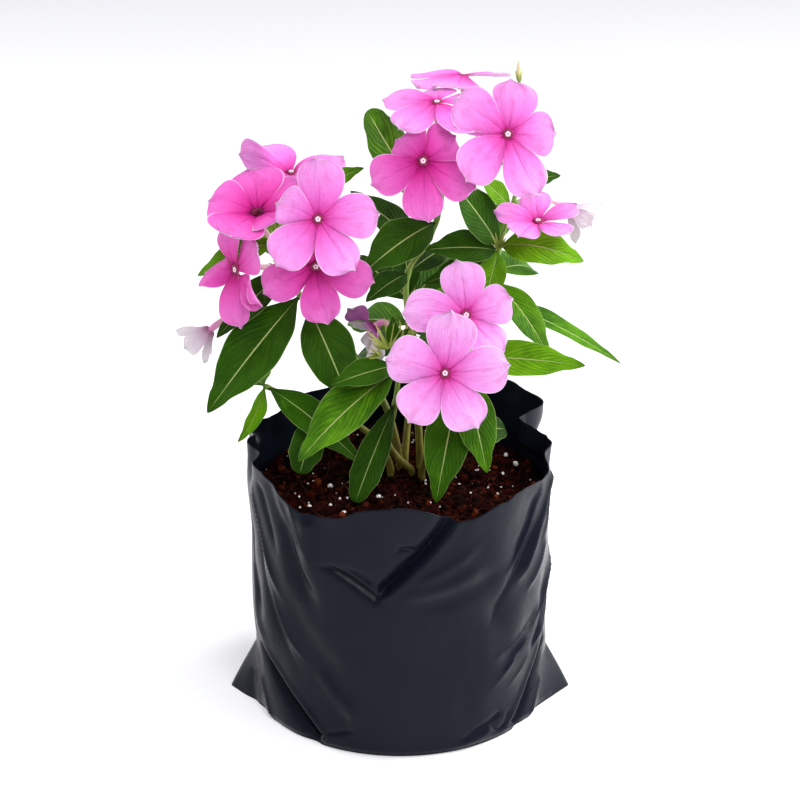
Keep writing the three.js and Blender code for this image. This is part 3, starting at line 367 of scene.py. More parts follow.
# facing is (degrees to the right of the front, degrees up), turns are the petals' directions in degrees to
# the left of upright, reach is each petal's length as a share of the radius, and cup lifts the petals in
# degrees. full is their width as a share of the radius, overlap is how far they fill the room between them,
# and wilt crumples them. The rest goes by petal: lifts adds to the cup, twists turns a petal about its
# length, rolled curls it in, and withered names the darkened ones.
PINK, DEEP, FADED, FUNNEL, LIGHT = range(5)
Bloom = namedtuple(
    "Bloom", "name stem look root centre facing radius cup"
    " turns reach full overlap lifts twists rolled wilt withered",
    defaults=(EVEN_TURNS, EVEN_REACH, PETAL_WIDTH, PETAL_OVERLAP, {}, {}, {}, 0.0, ()))
BLOOMS = [
    Bloom("left_front", "left", PINK, (-49, 2, 203), (-32.3, -28, 224.4), (12, 20), 24, 3,
          turns=[-6, 60, 130, 208, 266], reach=[0.98, 0.7, 1, 1, 1]),
    Bloom("left_funnel", "left", FUNNEL, (-49, 2, 204), (-56.9, -12, 221.6), (-20, 69), 22, 26,
          turns=[22, 88, 168, 240, 308], reach=[0.98, 0.95, 1.05, 0.7, 1.0], full=1.12, overlap=1.3),
    Bloom("left_top", "left", PINK, (-46, 4, 208), (-44, 13, 229.5), (0, 82), 24, 7,
          turns=[40, 88, 150, 215, 292], reach=[1, 1.04, 0.5, 0.5, 0.95], lifts={1: 30}, twists={1: -82}),
    Bloom("left_under", "left", DEEP, (-44, 1, 186), (-33.5, -22, 202), (4, 4), 22, 6,
          turns=[40, 113, 187, 250, 320], reach=[0.75, 1.04, 1.08, 1.06, 0.75]),
    Bloom("left_side", "left", DEEP, (-47, 2, 192), (-65.7, -23, 201), (-50, 8), 22, 6,
          turns=[27, 104, 196, 242, 312], reach=[0.8, 0.74, 1.03, 0.98, 0.8], full=0.86, twists={1: 64},
          rolled={3: 2.2}),
    Bloom("left_low", "left", FADED, (-44, 1, 186), (-79, -4, 165.5), (-92, -44), 16, 62, full=0.56),
    Bloom("right_front", "right", PINK, (48, 12, 227), (42.2, -22, 257.6), (12, 20), 24.5, 3,
          turns=[-12, 50, 130, 200, 262], reach=[0.84, 1.0, 0.98, 1.06, 0.76]),
    Bloom("right_back", "right", PINK, (48, 12, 228), (25.5, 27, 266), (180, 76), 22, 5,
          turns=[-12, 62, 140, 240, 294], reach=[1, 0.85, 0.6, 1, 1], full=1.2,
          lifts={0: -22, 3: -6, 4: -18}),
    Bloom("right_side", "right", PINK, (46, 9, 218), (55.2, -9, 216.8), (0, 78), 17.5, 15,
          turns=[4, 76, 148, 220, 292]),
    Bloom("right_faded", "right", FADED, (46, 9, 217), (71, 22, 208.5), (92, -38), 16, 58, full=0.56),
    Bloom("centre_top", "centre", PINK, (16, 6, 233), (14.6, -3, 264.6), (-6, 80), 22, -10,
          turns=[2, 74, 140, 222, 290], reach=[0.62, 1, 1, 1.2, 0.7]),
    Bloom("centre_front", "centre", DEEP, (16.5, 5, 228), (9.1, -20, 245.8), (-6, 24), 23, 4,
          turns=[48, 113, 184, 240, 304], reach=[0.56, 0.95, 1.02, 1.0, 0.66]),
    Bloom("low_front", "front_right", LIGHT, (27, -18, 168), (17.8, -48, 167), (-2, 24), 25, 3,
          turns=[-9, 73, 140, 208, 274], reach=[0.96, 0.94, 0.94, 0.98, 1]),
    Bloom("low_back", "front_right", LIGHT, (27, -18, 168), (26.4, -29, 184), (12, 20), 22.5, 3,
          turns=[2, 80, 150, 218, 280], reach=[0.95, 1.12, 0.9, 0.92, 0.85]),
    Bloom("wilted", "front", FADED, (-3, -12, 162), (-11, 3, 165), (-78, -42), 14, 56,
          reach=[0.9, 1, 1.5, 1.5, 0.8], full=1.2, lifts={0: -45, 4: -40}, twists={0: 75, 3: 68}, wilt=0.6,
          withered=(0, 4)),
]


# Numbers.
def mix(start, end, share):
    return start + (end - start) * share


def eased(value):
    share = min(max(value, 0.0), 1.0)
    return share * share * (3 - 2 * share)


# A rounded reading of a table: it keeps to the table's highest and lowest values.
def round_reading(table, place):
    last = len(table) - 1
    if place <= table[0][0]:
        return table[0][1]
    if place >= table[last][0]:
        return table[last][1]
    i = next(k for k in range(last) if place <= table[k + 1][0])

    def slope(k):
        if k <= 0 or k >= last:
            return 0.0
        steps = zip(table[k - 1:k + 1], table[k:k + 2])
        before, after = ((high - low) / (right - left) for (left, low), (right, high) in steps)
        return 2 * before * after / (before + after) if before * after > 0 else 0.0

    step = table[i + 1][0] - table[i][0]
    t = (place - table[i][0]) / step
    a, b = table[i][1], table[i + 1][1]
    return ((2 * t ** 3 - 3 * t ** 2 + 1) * a + (t ** 3 - 2 * t ** 2 + t) * step * slope(i)
            + (3 * t ** 2 - 2 * t ** 3) * b + (t ** 3 - t ** 2) * step * slope(i + 1))


def nearest_turn(angle, reference):
    return reference + (angle - reference + 180) % 360 - 180


def around(angle, radius, height):
    turn = math.radians(angle)
    return Vector((radius * math.cos(turn), radius * math.sin(turn), height))


# The part of a heading that stands square to an axis.
def squared(heading, axis):
    return (heading - axis * heading.dot(axis)).normalized()


# Curves.
def bent_point(start, bend, end, share):
    rest = 1 - share
    return start * (rest * rest) + bend * (2 * rest * share) + end * (share * share)


def bent_heading(start, bend, end, share):
    return ((bend - start) * (1 - share) + (end - bend) * share).normalized()


# Points of a centripetal curve through the given ones, at even steps from one to the next.
def curve_points(given, steps=60):
    points = [Vector(point) for point in given]
    points.insert(0, points[0] * 2 - points[1])
    points.append(points[-1] * 2 - points[-2])
    spans = len(points) - 3
    made = []
    for step in range(steps + 1):
        whole = min(int(step * spans / steps), spans - 1)
        t = step * spans / steps - whole
        p0, p1, p2, p3 = points[whole:whole + 4]
        d0, d1, d2 = (max((b - a).length, 1e-6) ** 0.5 for a, b in ((p0, p1), (p1, p2), (p2, p3)))
        m1 = ((p1 - p0) / d0 - (p2 - p0) / (d0 + d1) + (p2 - p1) / d1) * d1
        m2 = ((p2 - p1) / d1 - (p3 - p1) / (d1 + d2) + (p3 - p2) / d2) * d1
        made.append(p1 * (2 * t ** 3 - 3 * t ** 2 + 1) + m1 * (t ** 3 - 2 * t ** 2 + t)
                    + p2 * (3 * t ** 2 - 2 * t ** 3) + m2 * (t ** 3 - t ** 2))
    return made


class Line:
    """A run of points, read by the share of its length."""

    def __init__(self, points):
        self.points = points
        self.marks = [0.0]
        for before, after in zip(points, points[1:]):
            self.marks.append(self.marks[-1] + (after - before).length)
        self.length = self.marks[-1]

    def at(self, share):
        goal = min(max(share, 0.0), 1.0) * self.length
        i = next((k for k in range(1, len(self.marks)) if goal <= self.marks[k]), len(self.marks) - 1)
        part = (goal - self.marks[i - 1]) / max(self.marks[i] - self.marks[i - 1], 1e-9)
        return self.points[i - 1].lerp(self.points[i], part)

    def heading(self, share):
        reach = min(0.04, 1.5 / self.length)
        return (self.at(share + reach) - self.at(share - reach)).normalized()

    def nearest(self, place):
        return min(self.points, key=lambda point: (point - Vector(place)).length)

    def share_of(self, place):
        i = min(range(len(self.points)), key=lambda k: (self.points[k] - place).length)
        return self.marks[i] / self.length

    def part(self, start, end, steps=24):
        return Line([self.at(mix(start, end, k / steps)) for k in range(steps + 1)])


def bent_line(start, bend, end, steps):
    return Line([bent_point(start, bend, end, k / steps) for k in range(steps + 1)])


# Meshes. A wall, a bar or a blade starts as a flat grid and is laid out row by row: row_at gives a row's
# rule, and the rule gives the point at a place across the row. across and along say where the columns and
# rows lie.
def patch(bm, columns, rows, row_at, slot=0, tone=0.5, across=None, along=None, flip=False):
    uv = bm.loops.layers.uv.get("UVMap") or bm.loops.layers.uv.new("UVMap")
    tones = bm.verts.layers.float.get("tone") or bm.verts.layers.float.new("tone")
    verts = bmesh.ops.create_grid(bm, x_segments=columns, y_segments=rows, size=0.5, calc_uvs=True)["verts"]
    faces = list({face for vert in verts for face in vert.link_faces})
    width = columns + 1
    places = [across(c / columns) if across else c / columns for c in range(width)]
    shares = [along(r / rows) if along else r / rows for r in range(rows + 1)]
    for r, share in enumerate(shares):
        spot = row_at(share)
        for c, place in enumerate(places):
            vert = verts[r * width + c]
            vert.co = spot(place)
            vert[tones] = tone
    for face in faces:
        face.smooth = True
        face.material_index = slot
        if across or along:
            for loop in face.loops:
                mark = loop[uv].uv
                loop[uv].uv = (places[round(mark.x * columns)], shares[round(mark.y * rows)])
    if flip:
        bmesh.ops.reverse_faces(bm, faces=faces)
    return verts


def weld(bm, verts, dist=0.004):
    bmesh.ops.remove_doubles(bm, verts=verts, dist=dist)


# A thin closed sheet: an upper and a lower side, with a sharp edge between them where their finishes differ.
def add_sheet(bm, grid, row_for, slots, tone, across, along):
    verts = patch(bm, *grid, row_for(1), slots[0], tone, across, along, flip=True)
    verts = verts + patch(bm, *grid, row_for(-1), slots[1], tone, across, along)
    weld(bm, verts)
    for vert in verts:
        for edge in vert.link_edges if vert.is_valid else ():
            if len({face.material_index for face in edge.link_faces}) > 1:
                edge.smooth = False


# A round bar with closed ends.
def add_bar(bm, line, radius_at, rings, slot=0, tone=0.5, sides=STEM_SIDES, swell=None):
    headings = [line.heading(share) for share in (0, 0.5, 1)]
    axes = [Vector((1, 0, 0)), Vector((0, 1, 0)), UP]
    reference = min(axes, key=lambda axis: max(abs(heading.dot(axis)) for heading in headings))
    cap = 0.5 / rings

    def row_at(v):
        share = min(max((v - cap) / (1 - 2 * cap), 0.0), 1.0)
        middle = line.at(share)
        heading = line.heading(share)
        first = squared(reference, heading)
        second = heading.cross(first)
        radius = 0.0 if v <= 0.0 or v >= 1.0 else radius_at(share)

        def spot(u):
            turn = u * 2 * math.pi
            reach = radius * (swell(turn, share) if swell else 1.0)
            return middle + (first * math.cos(turn) + second * math.sin(turn)) * reach
        return spot

    steps = [0.0] + [cap + (1 - 2 * cap) * k / (rings - 2) for k in range(rings - 1)] + [1.0]
    weld(bm, patch(bm, sides, rings, row_at, slot, tone, along=lambda v: steps[round(v * rings)]))


# A leaf or a sepal. face is the way its upper side looks, and petiole is the half width of its stalk.
def add_blade(bm, root, tip, face, width, arch, outline, slots, tone, grid=LEAF_GRID, petiole=0.65,
              tip_power=0.7, ruffle=0.0, seed=0.0, thick=0.17):
    bend = root.lerp(tip, LEAF_BEND) + face * arch
    last_share, last_width = outline[-1]

    def half_width(share):
        if share <= last_share:
            blade = width / 2 * round_reading(outline, share)
        else:
            left = max(1 - (share - last_share) / (1 - last_share), 0.0)
            blade = width / 2 * last_width * left ** tip_power
        stalk = petiole * eased((0.6 - share) / 0.3)
        return (blade ** 3 + stalk ** 3) ** (1 / 3)

    def row_for(side):
        def row_at(share):
            middle = bent_point(root, bend, tip, share)
            heading = bent_heading(root, bend, tip, share)
            across = heading.cross(face).normalized()
            up = across.cross(heading).normalized()
            half = half_width(share)
            deep = mix(petiole * 0.9, thick, eased(share / 0.11))
            power = mix(2, 8, eased(share / 0.14))
            ends = 0.0 if share <= 0.0 or share >= 1.0 else 1.0

            def spot(column):
                reach = column * half
                phase = share * LEAF_WAVES_ALONG + column * LEAF_WAVES_ACROSS + seed
                wave = LEAF_WAVE * math.sin(phase) * abs(column)
                curl = ruffle * math.sin(share * 23 + seed * 3 + column) * column * column
                rise = half * (LEAF_FOLD * abs(column) + wave + curl)
                body = deep * max(1 - abs(column) ** power, 0.0) ** 0.5 * ends
                rib = math.exp(-(reach / RIB_WIDTH) ** 2) * (1 - 0.75 * share) * ends
                shift = body - 0.16 * rib * eased(share / 0.1) if side > 0 else -body - 0.34 * rib
                return middle + across * reach + up * (rise + shift)
            return spot
        return row_at

    def spread(u):
        s = 2 * u - 1
        return math.copysign(abs(s) ** 1.45, s)

    def rowed(v):
        return mix(v, 0.5 - 0.5 * math.cos(math.pi * v), 0.8)

    add_sheet(bm, grid, row_for, slots, tone, spread, rowed)


def finished(bm, name, finishes, slot, *nodes):
    bmesh.ops.scale(bm, vec=(MM, MM, MM), verts=bm.verts)
    mesh = bpy.data.meshes.new(name)
    bm.to_mesh(mesh)
    bm.free()
    for finish in finishes:
        mesh.materials.append(finish)
    piece = bpy.data.objects.new(name, mesh)
    bpy.context.scene.collection.objects.link(piece)
    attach(piece, "root")
    if nodes:
        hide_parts(*nodes)


# Many small parts in one mesh: one part is doubled until there are enough of them.
def many(bm, count):
    size = len(bm.verts)
    while len(bm.verts) < count * size:
        bmesh.ops.duplicate(bm, geom=bm.verts[:] + bm.edges[:] + bm.faces[:])
    verts = bm.verts[:]
    return [verts[k:k + size] for k in range(0, len(verts), size)]


# The film of the bag. The marks are read on the film laid flat: x runs round the bag, and z is the height.
def laid_flat(mark):
    kind, _, width, _, _, line = mark
    given = [(nearest_turn(angle, line[0][0]) * BAG_ARC, height, 0) for angle, height in line]
    if len(given) > 2:
        given = curve_points(given, 4 * (len(given) - 1))
    spots = [(point[0], point[1]) for point in given]
    lengths = [0.0]
    for (x0, z0), (x1, z1) in zip(spots, spots[1:]):
        lengths.append(lengths[-1] + math.hypot(x1 - x0, z1 - z0))
    reach = width * MARK_REACH[kind]
    (left, right), (low, high) = ((min(row) - reach, max(row) + reach) for row in zip(*spots))
    return mark[:5], spots, lengths, (left, right, low, high), (left + right) / 2 / BAG_ARC


FLAT_MARKS = [laid_flat(mark) for mark in FILM_MARKS]


def mark_depth(angle, height):
    depth = 0.0
    for mark, spots, lengths, (left, right, low, high), middle in FLAT_MARKS:
        kind, strength, width, fade_in, fade_out = mark
        if not low < height < high:
            continue
        x = nearest_turn(angle, middle) * BAG_ARC
        if not left < x < right:
            continue
        best, place, side = 1e9, 0.0, 1.0
        for i, ((x0, z0), (x1, z1)) in enumerate(zip(spots, spots[1:])):
            run_x, run_z = x1 - x0, z1 - z0
            square = run_x * run_x + run_z * run_z
            t = min(max(((x - x0) * run_x + (height - z0) * run_z) / square, 0.0), 1.0)
            away = math.hypot(x - x0 - run_x * t, height - z0 - run_z * t)
            if away < best:
                best = away
                place = (lengths[i] + t * (lengths[i + 1] - lengths[i])) / lengths[-1]
                side = 1.0 if run_x * (height - z0) - run_z * (x - x0) > 0 else -1.0
        if fade_in:
            strength *= eased(place / fade_in)
        if fade_out:
            strength *= eased((1 - place) / fade_out)
        if kind == "dent":
            depth += strength * math.exp(-(best / width) ** 2)
        elif kind == "nick" or side > 0:
            depth += strength * math.exp(-best / width)
        else:
            share, away, spread = LAP_LIP
            lip = share * strength * math.exp(-((best - away) / spread) ** 2)
            depth += strength * (1 - eased(best / LAP_WALL)) - lip
    return depth


def slack(angle, height):
    broad = noise.noise(around(angle, 1.9, height / 34) + Vector((3.1, 0.4, 7.7)))
    fine = noise.noise(around(angle, 5.2, height / 19 + angle / 60) + Vector((8.3, 2.6, 1.9)))
    return (SLACK_BROAD * broad + SLACK_FINE * fine) * eased(height / SLACK_START)


def film_radius(angle, height):
    loose = 1 + LOOSE_MORE * eased((height - LOOSE_FOOT) / LOOSE_RISE)
    return round_reading(BAG_PROFILE, height) - mark_depth(angle, height) + slack(angle, height) * loose


# The flat corner at each side of the bottom seam.
def ear_radius(angle, height):
    share = 1 - height / EAR_HEIGHT
    turned = abs(nearest_turn(angle, 0))
    aside = 180 - turned if turned > 90 else turned
    spread = EAR_ANGLE * share
    if share <= 0 or aside >= spread:
        return 0.0
    body = round_reading(BAG_PROFILE, height)
    tip = mix(body, EAR_REACH, share)
    foot_x = math.cos(math.radians(spread)) * body
    foot_y = math.sin(math.radians(spread)) * body
    slope = foot_y / (tip - foot_x)
    straight = slope * tip / (math.sin(math.radians(aside)) + slope * math.cos(math.radians(aside)))
    return straight - EAR_HOLLOW * math.sin(aside / spread * math.pi) * share


def rim_height(angle):
    height = round_reading(RIM_HEIGHTS, nearest_turn(angle, RIM_HEIGHTS[0][0] + 180))
    return height + RIM_WAVE * noise.noise(around(angle, 9, 5.5))


# Angles from the back round to the back again, closer together at the front, where most folds are.
def film_angle(u):
    s = 2 * u - 1
    return -90 + 180 * s * (FRONT_WEIGHT + (1 - FRONT_WEIGHT) * s * s)


# The film runs from the middle of the foot up its outside, over the rim, and down its inside to the floor.
def make_bag(finishes):
    bm = bmesh.new()
    under, outside, inside, hidden, floor = FILM_ROWS
    rows = under + outside + 3 + inside + hidden + floor
    bodies = {}

    def outer_at(angle, height, spot):
        body = bodies[spot] = film_radius(angle, height)
        ear = ear_radius(angle, height)
        return max(body, ear - mark_depth(angle, height)) if ear > 0 else body

    # The inner wall under the mix, which stays inside every fold of the outer one near it.
    def inner_at(column, rim, height):
        first = max(round((height - HIDDEN_REACH) / rim * outside), 0)
        last = min(round((height + HIDDEN_REACH) / rim * outside), outside)
        return min(bodies[(column + step) % FILM_COLUMNS, row]
                   for step in (-1, 0, 1) for row in range(first, last + 1)) - FILM

    def row_at(v):
        row = round(v * rows)

        def spot(u):
            column = round(u * FILM_COLUMNS) % FILM_COLUMNS
            angle = film_angle(u)
            rim = rim_height(angle)
            if row <= under:
                share = row / under
                wrinkle = 1 + noise.noise(around(angle, share * 6, 0))
                lift = FLOOR_LIFT * math.sin(share * math.pi) * wrinkle
                return around(angle, outer_at(angle, 0.0, (column, 0)) * share, lift)
            up = row - under
            if up <= outside:
                height = rim * (up / outside)
                return around(angle, outer_at(angle, height, (column, up)), height)
            if up <= outside + 2:
                inward = RIM_STEPS[up - outside - 1]
                return around(angle, film_radius(angle, rim) - FILM * inward, rim + RIM_ROUND)
            down = up - outside - 3
            if down <= inside:
                height = mix(rim, HIDDEN_TOP, down / inside)
                return around(angle, film_radius(angle, height) - FILM, height)
            down -= inside
            if down <= hidden:
                height = mix(HIDDEN_TOP, BAG_FLOOR, down / hidden)
                return around(angle, inner_at(column, rim, height), height)
            share = 1 - (down - hidden) / floor
            return around(angle, inner_at(column, rim, BAG_FLOOR) * share, BAG_FLOOR)
        return spot

    weld(bm, patch(bm, FILM_COLUMNS, rows, row_at))
    finished(bm, "grow_bag_film", finishes, "bag", "bag")


# The potting mix.
def soil_height(x, y):
    reach = min(math.hypot(x, y) / SOIL_REACH, 1.0)
    wave = math.sin(x / SOIL_WAVE[0] + 1) * math.cos(y / SOIL_WAVE[1])
    ripple = math.sin(x / SOIL_RIPPLE[0] - y / SOIL_RIPPLE[1])
    lumps = wave + SOIL_RIPPLE_SHARE * ripple
    mound = RIM_START + SOIL_MOUND * (1 - reach * reach) + SOIL_LUMP * lumps * (1 - reach ** 4)
    spot = Vector((x, y, 0))
    clods = noise.fractal(spot / SOIL_CLOD_SIZE, 0.7, 2.1, 4)
    pits = noise.cell(spot / SOIL_PIT_SIZE)
    return mound + SOIL_CLOD * clods + SOIL_PIT * pits - SOIL_SINK


def soil_spot(x, y):
    return Vector((x, y, soil_height(x, y)))


def make_soil(finishes):
    bm = bmesh.new()
    under, side, top = SOIL_ROWS
    rows = under + side + top

    # The mix keeps inside the film, and well inside it at the height of the ears.
    def wall(angle, height):
        if height < SOIL_SHOULDER:
            behind_ear = eased((SOIL_EAR_TOP - height) / SOIL_EAR_FADE)
            return round_reading(BAG_PROFILE, height) - mix(SOIL_SIDE_GAP, SOIL_EAR_GAP, behind_ear)
        return min(film_radius(angle + turn, height + rise)
                   for turn in BRIM_TURNS for rise in BRIM_RISES) - FILM - BRIM_GAP

    brim = [wall(360 * c / SOIL_COLUMNS - 180, RIM_START) for c in range(SOIL_COLUMNS + 1)]

    def row_at(v):
        row = round(v * rows)

        def spot(u):
            angle = -180 + 360 * u
            if row <= under:
                return around(angle, wall(angle, SOIL_FOOT) * row / under, SOIL_FOOT)
            if row <= under + side:
                height = mix(SOIL_FOOT, SOIL_SHOULDER, (row - under) / side)
                return around(angle, wall(angle, height), height)
            share = 1 - (row - under - side) / top
            edge = around(angle, brim[round(u * SOIL_COLUMNS)] * share, 0)
            near_film = eased((share - SOIL_EDGE_START) / SOIL_EDGE_WIDTH)
            edge.z = soil_height(edge.x, edge.y) - SOIL_EDGE_DROP * near_film
            return edge
        return spot

    weld(bm, patch(bm, SOIL_COLUMNS, rows, row_at))
    finished(bm, "potting_mix", finishes, "soil", "soil")


def spots_on_soil(rng, count, reach=58.5):
    spots = []
    while len(spots) < count:
        x, y = rng.uniform(-reach, reach), rng.uniform(-reach, reach)
        if math.hypot(x, y) < reach:
            spots.append(soil_spot(x, y))
    return spots


# Lumps lying on the mix, each squeezed, turned and dented its own way.
def make_lumps(name, count, subdivisions, sizes, roughness, finishes, seed, seen=()):
    rng = random.Random(seed)
    bm = bmesh.new()
    tones = bm.verts.layers.float.new("tone")
    bmesh.ops.create_icosphere(bm, subdivisions=subdivisions, radius=1.0)
    spots = [soil_spot(x, y) for x, y in seen]
    for verts, place in zip(many(bm, count), spots + spots_on_soil(rng, count - len(spots))):
        size = mix(sizes[0], sizes[1], rng.random() ** 2.2)
        squeeze = Vector((rng.uniform(0.7, 1.25), rng.uniform(0.7, 1.1), rng.uniform(0.55, 0.95)))
        axis = Vector((rng.gauss(0, 1), rng.gauss(0, 1), rng.gauss(0, 1))).normalized()
        turned = Matrix.Rotation(rng.uniform(0, 2 * math.pi), 3, axis)
        shift = rng.uniform(0, 90)
        tone = rng.random()
        for vert in verts:
            dent = 1 + roughness * noise.noise(vert.co * 1.7 + Vector((shift, 0, 0)))
            vert.co = place + turned @ (vert.co * squeeze * (size * dent)) + Vector((0, 0, size * LUMP_RISE))
            vert[tones] = tone
    for face in bm.faces:
        face.smooth = subdivisions > 1
    finished(bm, name, finishes, "soil")


# Strands of fibre lying on the mix.
def make_fibres(finishes):
    rng = random.Random(41)
    bm = bmesh.new()
    tones = bm.verts.layers.float.new("tone")
    bmesh.ops.create_grid(bm, x_segments=FIBRE_SIDES, y_segments=FIBRE_RINGS, size=0.5)
    for place, verts in zip(spots_on_soil(rng, FIBRE_COUNT, 57), many(bm, FIBRE_COUNT)):
        length = rng.uniform(*FIBRE_LENGTH)
        radius = rng.uniform(*FIBRE_RADIUS)
        heading = Vector((rng.gauss(0, 1), rng.gauss(0, 1), rng.gauss(0, 0.22))).normalized()
        aside = heading.cross(UP).normalized()
        bow = rng.uniform(-0.3, 0.3) * length
        tone = rng.random()
        for vert in verts:
            turn = (vert.co.x + 0.5) * 2 * math.pi
            v = vert.co.y + 0.5
            thin = radius * math.sin(math.pi * v) ** 0.4 if 0 < v < 1 else 0.0
            middle = place + heading * (length * (v - 0.5)) + aside * (bow * (1 - (2 * v - 1) ** 2))
            middle.z = max(middle.z, soil_height(middle.x, middle.y) - 0.1) + 0.25
            vert.co = middle + (aside * math.cos(turn) + aside.cross(heading) * math.sin(turn)) * thin
            vert[tones] = tone
    weld(bm, bm.verts[:], 0.002)
    bmesh.ops.recalc_face_normals(bm, faces=bm.faces)
    for face in bm.faces:
        face.smooth = True
    finished(bm, "coir_fibres", finishes, "soil")


# Green pieces.
LEAF_TOP, LEAF_UNDER, STEM, SEPAL, BUD = range(5)


def stem_points(stem):
    return curve_points([(*stem.foot, STEM_NECK_HEIGHT - 2), (*stem.foot, STEM_NECK_HEIGHT)] + stem.path)


def facing_of(bloom):
    aside, up = (math.radians(angle) for angle in bloom.facing)
    return Vector((math.sin(aside) * math.cos(up), -math.cos(aside) * math.cos(up), math.sin(up)))


# The line of a bloom's stalk and tube, and the share of it at which the calyx ends and the tube starts.
def stalk_line(bloom, root):
    facing = facing_of(bloom)
    end = Vector(bloom.centre) - facing * TUBE_END_DEPTH
    line = bent_line(root, end - facing * STALK_BEND * (end - root).length, end, 40)
    return line, max(STALK_SHARE, 1 - TUBE_LENGTH / line.length)


def add_leaf(bm, leaf, root, rng):
    tip = Vector(leaf.tip)
    forward = (tip - root).normalized()
    face = Matrix.Rotation(math.radians(leaf.roll), 3, forward) @ squared(LEAF_FACE, forward)
    drawn = rng.random()
    add_blade(bm, root, tip, face, leaf.width, leaf.arch, BLUNT_LEAF if leaf.blunt else POINTED_LEAF,
              (LEAF_TOP, LEAF_UNDER), drawn if leaf.tone is None else leaf.tone,
              tip_power=BLUNT_POWER if leaf.blunt else POINTED_POWER, ruffle=rng.uniform(*LEAF_RUFFLE),
              seed=rng.uniform(-0.4, 0.4), petiole=0.4 + 0.013 * leaf.width)


def add_sepals(bm, root, aim, length, count, width, spread, rng):
    aim = Vector(aim).normalized()
    side = aim.orthogonal().normalized()
    start = rng.uniform(0, math.pi)
    for k in range(count):
        turn = start + 2 * math.pi * k / count + rng.uniform(-0.2, 0.2)
        out = Matrix.Rotation(turn, 3, aim) @ side
        lean = (aim + out * rng.uniform(0.7, 1.3) * spread).normalized()
        long = length * rng.uniform(0.75, 1.15)
        foot = root + out * 0.5
        add_blade(bm, foot, foot + lean * long, squared(-out, lean), width, -0.06 * long, SEPAL_SHAPE,
                  (SEPAL, SEPAL), rng.random(), SEPAL_GRID, petiole=0.22, tip_power=0.8, thick=0.12)


def add_stalk(bm, bloom, root, rng):
    line, top = stalk_line(bloom, root)
    cup = CALYX_LENGTH / line.length

    def radius_at(share):
        return mix(STALK_RADIUS, CALYX_RADIUS, eased((share * top - top + cup) / cup) ** 1.3)

    add_bar(bm, line.part(0, top), radius_at, STALK_RINGS, STEM, 0.75, STALK_SIDES)
    add_sepals(bm, line.at(top - 0.4 * cup), line.heading(top), *CALYX, rng)


def add_bud(bm, bud, root, rng):
    tip = Vector(bud.tip)
    sway = (tip - root).cross(UP).normalized() * BUD_SWAY
    whole = bent_line(root, Vector(bud.bend) if bud.bend else root.lerp(tip, 0.5) + sway, tip, 20)
    start = 1 - bud.length / whole.length

    def stalk_radius(share):
        return mix(STALK_RADIUS, BUD_STALK_RADIUS, share)

    def body_radius(share):
        round_body = math.sin(math.pi * min(share * 0.8 + 0.2, 1.0)) ** 0.8
        return bud.girth * round_body * mix(1, 0.55, share) + 0.12

    def swell(turn, share):
        return 1 + 0.12 * math.cos(5 * turn + 7 * share)

    add_bar(bm, whole.part(0, start), stalk_radius, BUD_STALK_RINGS, STEM, 0.8, BUD_STALK_SIDES)
    add_bar(bm, whole.part(start, 1), body_radius, BUD_RINGS, BUD, rng.random(), BUD_SIDES, swell)
    add_sepals(bm, whole.at(start), whole.heading(start), *BUD_CALYX, rng)


def make_stem(stem, finishes):
    name = f"leafy_stem_{stem.name}"
    rng = random.Random(name)
    bm = bmesh.new()
    points = stem_points(stem)
    curve = Line(points)
    whole = Line([Vector((*stem.foot, STEM_FOOT_DEPTH)), Vector((*stem.foot, STEM_HOLE_TOP))] + points)
    twigs = [Line(curve_points(path)) for path in stem.twigs]

    def start_of(place):
        starts = [line.nearest(place) for line in [curve] + twigs]
        return min(starts, key=lambda point: (point - Vector(place)).length)

    knots = [whole.share_of(curve.nearest(leaf.root)) for leaf in stem.leaves]

    def radius_at(share):
        plain = mix(STEM_FOOT_RADIUS * 0.86, STEM_TIP_RADIUS, eased(share * 0.85) / eased(0.85))
        swell = sum(math.exp(-((share - knot) * whole.length / KNOT_LENGTH) ** 2) for knot in knots)
        return plain * (1 + KNOT_SWELL * min(swell, 1.4))

    add_bar(bm, whole, radius_at, STEM_RINGS, STEM, rng.random())
    for twig in twigs:
        add_bar(bm, twig, lambda share: mix(*TWIG_RADII, share), TWIG_RINGS, STEM, 0.7, TWIG_SIDES)
    for leaf in stem.leaves:
        add_leaf(bm, leaf, start_of(leaf.root), rng)
    for bud in stem.buds:
        add_bud(bm, bud, start_of(bud.root), rng)
    for bloom in BLOOMS:
        if bloom.stem == stem.name:
            add_stalk(bm, bloom, curve.nearest(bloom.root), rng)
    for tuft in stem.tufts:
        add_sepals(bm, Vector(tuft.root), tuft.aim, tuft.length, tuft.count, tuft.width, TUFT_SPREAD, rng)
    finished(bm, f"{name}_dressed", finishes, "leaf", name)


# Blooms.
PETAL_FACE, PETAL_BACK, EYE, TUBE, WITHERED = range(5)


# A petal's half width as a share of its widest, by the share of the bloom's radius.
def petal_width(share):
    rise = math.sin(min(max(share, 0.0) / 0.62, 1) * math.pi / 2) ** 0.6
    return rise * max(1 - max(0.0, (share - 0.6) / 0.4) ** 3.2, 0.0) ** 0.5


